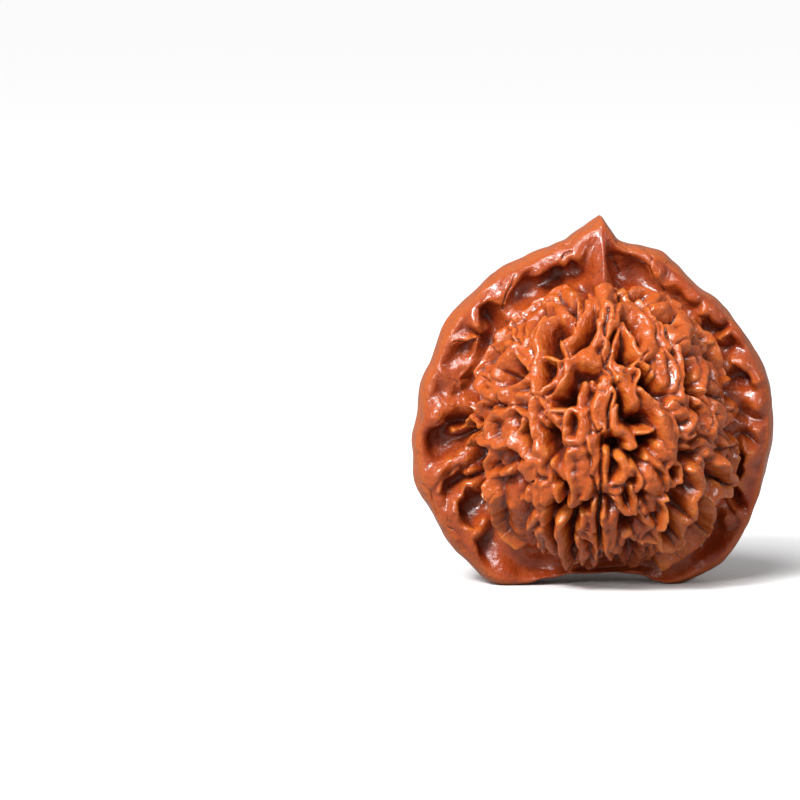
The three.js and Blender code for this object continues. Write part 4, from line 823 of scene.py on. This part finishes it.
# polished shell: oiled ridges with a painted highlight on their crests, duller redder slopes, painted
# shade darkening slopes, creases and pits, and dark cracks
shellFinish = {
    # the edge colour is a painted highlight for the crests
    "edge": (0.55, 0.16, 0.025),
    "ridge": (0.395, 0.072, 0.008),
    # the slope, floor and near-black pit colours are painted shade: darker steps of the ridge colour for
    # lower ground
    "slope": (0.235, 0.026, 0.004),
    "floor": (0.13, 0.016, 0.005),
    "shade": (0.11, 0.013, 0.003),
    "pit": (0.05, 0.009, 0.004),
    "crack": (0.025, 0.007, 0.005),
    "wing": (0.29, 0.05, 0.011),
    "rim": (0.46, 0.12, 0.025),
    "dust": (0.34, 0.15, 0.08),
    "polish": 0.25,
    "wingPolish": 0.3,
    "dull": 0.62,
    "coat": 0.4,
    "coatRoughness": 0.1,
    "bending": 1.38,       # index of refraction of the oiled skin
    "glow": 0.25,          # share of light that goes through the oily skin
    "glowReach": 0.0007,
    "wingRange": (1.0, 0.0),  # where each mask starts and is full, from here to the one of the rim
    "riseRange": (-3.4, 1.5),  # heights in millimetres, from pits to ridge tops
    "hollowRange": (0.05, 1.3),  # depths below the surroundings in millimetres
    "creaseRange": (0.01, 0.17),
    "crestRange": (-0.04, -0.3),
    "crackRange": (0.4, 1.0),
    "dustRange": (0.5, 1.6),
    "dullRange": (0.2, 1.4),
    "rimRange": (0.5, 1.0),
    "patchScale": 260,  # scales of the clouds and of the hairline net for each metre
    "dustScale": 900,
    "wrinkleScale": 620,
    "skinScale": 2600,
    "hairlineScale": 210,
    "hairlinePatchScale": 120,
    "skin": 0.00004,       # heights of the fine unevenness and of the wrinkles in metres
    "wrinkles": 0.0006,
}


def shellMaterial():
    material = bpy.data.materials.new("polished_shell")
    material.use_nodes = True
    nodes, links = material.node_tree.nodes, material.node_tree.links
    nodes.clear()
    output = nodes.new("ShaderNodeOutputMaterial")
    surface = nodes.new("ShaderNodeBsdfPrincipled")
    links.new(surface.outputs["BSDF"], output.inputs["Surface"])

    def stored(name, rangeName):
        value = nodes.new("ShaderNodeAttribute")
        value.attribute_name = name
        share = nodes.new("ShaderNodeMapRange")
        for end, number in zip(("From Min", "From Max"), shellFinish[rangeName]):
            share.inputs[end].default_value = number
        links.new(value.outputs["Fac"], share.inputs["Value"])
        return share.outputs["Result"]

    def cloud(scaleName, detail):
        place = nodes.new("ShaderNodeTexCoord")
        texture = nodes.new("ShaderNodeTexNoise")
        texture.inputs["Scale"].default_value = shellFinish[scaleName]
        texture.inputs["Detail"].default_value = detail
        links.new(place.outputs["Object"], texture.inputs["Vector"])
        return texture.outputs["Fac"]

    # thin lines between uneven cells, drawn askew
    def veins(scale):
        place = nodes.new("ShaderNodeTexCoord")
        askew = nodes.new("ShaderNodeTexNoise")
        askew.inputs["Scale"].default_value = 2.2 * scale
        links.new(place.outputs["Object"], askew.inputs["Vector"])
        shifted = nodes.new("ShaderNodeVectorMath")
        shifted.operation = "MULTIPLY_ADD"
        links.new(askew.outputs["Color"], shifted.inputs[0])
        shifted.inputs[1].default_value = [0.5 / scale] * 3
        links.new(place.outputs["Object"], shifted.inputs[2])
        cells = nodes.new("ShaderNodeTexVoronoi")
        cells.feature = "DISTANCE_TO_EDGE"
        cells.inputs["Scale"].default_value = scale
        links.new(shifted.outputs[0], cells.inputs["Vector"])
        return spread(cells.outputs["Distance"], 0.004, 0.015, 1, 0)

    def spread(value, low, high, start, end):
        share = nodes.new("ShaderNodeMapRange")
        for name, number in (("From Min", low), ("From Max", high), ("To Min", start), ("To Max", end)):
            share.inputs[name].default_value = number
        links.new(value, share.inputs["Value"])
        return share.outputs["Result"]

    def blended(share, first, second):
        mix = nodes.new("ShaderNodeMix")
        mix.data_type = "RGBA"
        links.new(share, mix.inputs[0])
        for socket, colour in ((mix.inputs[6], first), (mix.inputs[7], second)):
            if isinstance(colour, str):
                socket.default_value = (*shellFinish[colour], 1)
            else:
                links.new(colour, socket)
        return mix.outputs[2]

    def times(first, second):
        product = nodes.new("ShaderNodeMath")
        product.operation = "MULTIPLY"
        for socket, value in zip(product.inputs, (first, second)):
            if isinstance(value, float):
                socket.default_value = value
            else:
                links.new(value, socket)
        return product.outputs[0]

    # painted shade by height: the colour steps down from the ridge tops through slopes and floors to
    # near-black in the pits, darker where shade falls
    colours = nodes.new("ShaderNodeValToRGB")
    stops = [(0.0, "pit"), (0.3, "floor"), (0.62, "slope"), (0.95, "ridge")]
    ramp = colours.color_ramp
    while len(ramp.elements) < len(stops):
        ramp.elements.new(0.5)
    for element, (place, name) in zip(ramp.elements, stops):
        element.position = place
        element.color = (*shellFinish[name], 1)
    links.new(stored("rise", "riseRange"), colours.inputs["Fac"])
    offBelly = stored("belly", "wingRange")
    patchy = times(offBelly, spread(cloud("patchScale", 3), 0.38, 0.62, 0.1, 0.85))
    tone = blended(patchy, colours.outputs["Color"], "wing")
    # painted shade: hollows well below their surroundings darkened towards the near-black pit colour,
    # less on the wings
    hollowShade = times(stored("hollow", "hollowRange"), spread(offBelly, 0, 1, 1, 0.35))
    tone = blended(hollowShade, tone, "pit")
    tone = blended(times(stored("crease", "creaseRange"), 0.85), tone, "shade")
    # painted highlight: convex crests lightened towards the bright orange edge colour
    tone = blended(times(stored("crease", "crestRange"), 0.8), tone, "edge")
    tone = blended(stored("crack", "crackRange"), tone, "crack")
    patches = spread(cloud("hairlinePatchScale", 2), 0.54, 0.62, 0, 0.6)
    hairline = times(veins(shellFinish["hairlineScale"]), patches)
    tone = blended(hairline, tone, "crack")
    specks = spread(cloud("dustScale", 5), 0.58, 0.7, 0, 0.45)
    dusty = times(stored("hollow", "dustRange"), specks)
    tone = blended(dusty, tone, "dust")
    rim = stored("rim", "rimRange")
    tone = blended(times(rim, 0.45), tone, "rim")
    links.new(tone, surface.inputs["Base Color"])
    links.new(spread(rim, 0, 1, shellFinish["coat"], 0), surface.inputs["Coat Weight"])

    gloss = nodes.new("ShaderNodeMix")
    links.new(offBelly, gloss.inputs[0])
    gloss.inputs[2].default_value = shellFinish["polish"]
    gloss.inputs[3].default_value = shellFinish["wingPolish"]
    duller = nodes.new("ShaderNodeMix")
    links.new(stored("hollow", "dullRange"), duller.inputs[0])
    links.new(gloss.outputs[0], duller.inputs[2])
    duller.inputs[3].default_value = shellFinish["dull"]
    links.new(duller.outputs[0], surface.inputs["Roughness"])

    wrinkles = nodes.new("ShaderNodeBump")
    wrinkles.inputs["Distance"].default_value = shellFinish["wrinkles"]
    links.new(cloud("wrinkleScale", 4), wrinkles.inputs["Height"])
    links.new(spread(offBelly, 0, 1, 1, 0.8), wrinkles.inputs["Strength"])
    skin = nodes.new("ShaderNodeBump")
    skin.inputs["Distance"].default_value = shellFinish["skin"]
    links.new(cloud("skinScale", 2), skin.inputs["Height"])
    links.new(wrinkles.outputs["Normal"], skin.inputs["Normal"])
    links.new(skin.outputs["Normal"], surface.inputs["Normal"])
    for name, key in (("Coat Roughness", "coatRoughness"), ("IOR", "bending"),
                      ("Subsurface Weight", "glow"), ("Subsurface Scale", "glowReach")):
        surface.inputs[name].default_value = shellFinish[key]
    surface.inputs["Subsurface Radius"].default_value = (1.0, 0.3, 0.1)
    return material


shell.data.materials.clear()
shell.data.materials.append(shellMaterial())
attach(shell, "root")
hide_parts("walnut")
print("walnut shell finished")


# studio: pale floor, white surround, a soft broad lamp and three soft boxes
studio = {
    "floorColour": (0.88, 0.88, 0.88),
    "floorBounce": (0.36, 0.34, 0.32),  # what the nut sees of the floor
    "surround": 0.34,
    "mirrored": 0.36,
    "background": 1.0,
    "broadLamp": 3.1,
    "keyPower": 4.2,
    "fillPower": 1.0,
    "glintPower": 1.2,
}


def makeFloor():
    half = 8.0
    mesh = bpy.data.meshes.new("floor")
    corners = [(-half, -half, 0), (half, -half, 0), (half, half, 0), (-half, half, 0)]
    mesh.from_pydata(corners, [], [(0, 1, 2, 3)])
    floor = bpy.data.objects.new("floor", mesh)
    bpy.context.scene.collection.objects.link(floor)
    material = bpy.data.materials.new("pale_floor")
    material.use_nodes = True
    nodes, links = material.node_tree.nodes, material.node_tree.links
    surface = nodes["Principled BSDF"]
    seen = nodes.new("ShaderNodeLightPath")
    colour = nodes.new("ShaderNodeMix")
    colour.data_type = "RGBA"
    colour.inputs[6].default_value = (*studio["floorBounce"], 1)
    colour.inputs[7].default_value = (*studio["floorColour"], 1)
    links.new(seen.outputs["Is Camera Ray"], colour.inputs[0])
    links.new(colour.outputs[2], surface.inputs["Base Color"])
    surface.inputs["Roughness"].default_value = 0.9
    surface.inputs["Specular IOR Level"].default_value = 0.0
    mesh.materials.append(material)


def addLamp(name, lamp, power, place, target):
    lamp.energy = power
    holder = bpy.data.objects.new(name, lamp)
    holder.location = place
    holder.rotation_euler = (Vector(target) - Vector(place)).to_track_quat("-Z", "Y").to_euler()
    bpy.context.scene.collection.objects.link(holder)


def softBox(name, place, size, power, target):
    lamp = bpy.data.lights.new(name, "AREA")
    lamp.shape = "RECTANGLE"
    lamp.size, lamp.size_y = size
    addLamp(name, lamp, power, place, target)


def makeStudio():
    makeFloor()
    world = bpy.data.worlds.new("surround")
    world.use_nodes = True
    nodes, links = world.node_tree.nodes, world.node_tree.links
    glow = nodes["Background"]
    glow.inputs["Color"].default_value = (1, 1, 1, 1)
    seen = nodes.new("ShaderNodeLightPath")
    before = studio["surround"]
    for ray, level in (("Is Glossy Ray", "mirrored"), ("Is Camera Ray", "background")):
        strength = nodes.new("ShaderNodeMix")
        links.new(seen.outputs[ray], strength.inputs[0])
        if isinstance(before, float):
            strength.inputs[2].default_value = before
        else:
            links.new(before, strength.inputs[2])
        strength.inputs[3].default_value = studio[level]
        before = strength.outputs[0]
    links.new(before, glow.inputs["Strength"])
    bpy.context.scene.world = world
    middle = (0, 0, 0.023)
    broad = bpy.data.lights.new("broad lamp", "SUN")
    broad.angle = math.radians(35)
    addLamp("broad lamp", broad, studio["broadLamp"], (-0.45, -0.7, 1.0), middle)
    softBox("key", (-0.35, -0.45, 0.5), (0.16, 0.12), studio["keyPower"], middle)
    softBox("fill", (0.5, -0.4, 0.3), (0.12, 0.2), studio["fillPower"], middle)
    softBox("low glint", (-0.42, -0.45, 0.18), (0.08, 0.08), studio["glintPower"], middle)


def makeCamera():
    camera = bpy.data.cameras.new("camera")
    camera.sensor_width = 36
    camera.lens = 36 * focal / 800
    camera.clip_start = 0.01
    holder = bpy.data.objects.new("camera", camera)
    turnMatrix = Matrix((rightward, upward, -forward)).transposed().to_4x4()
    holder.matrix_world = Matrix.Translation(Vector(eye * mm)) @ turnMatrix
    bpy.context.scene.collection.objects.link(holder)
    bpy.context.scene.camera = holder


makeStudio()
makeCamera()
bpy.context.scene.view_settings.view_transform = "Standard"
print("studio and camera ready")
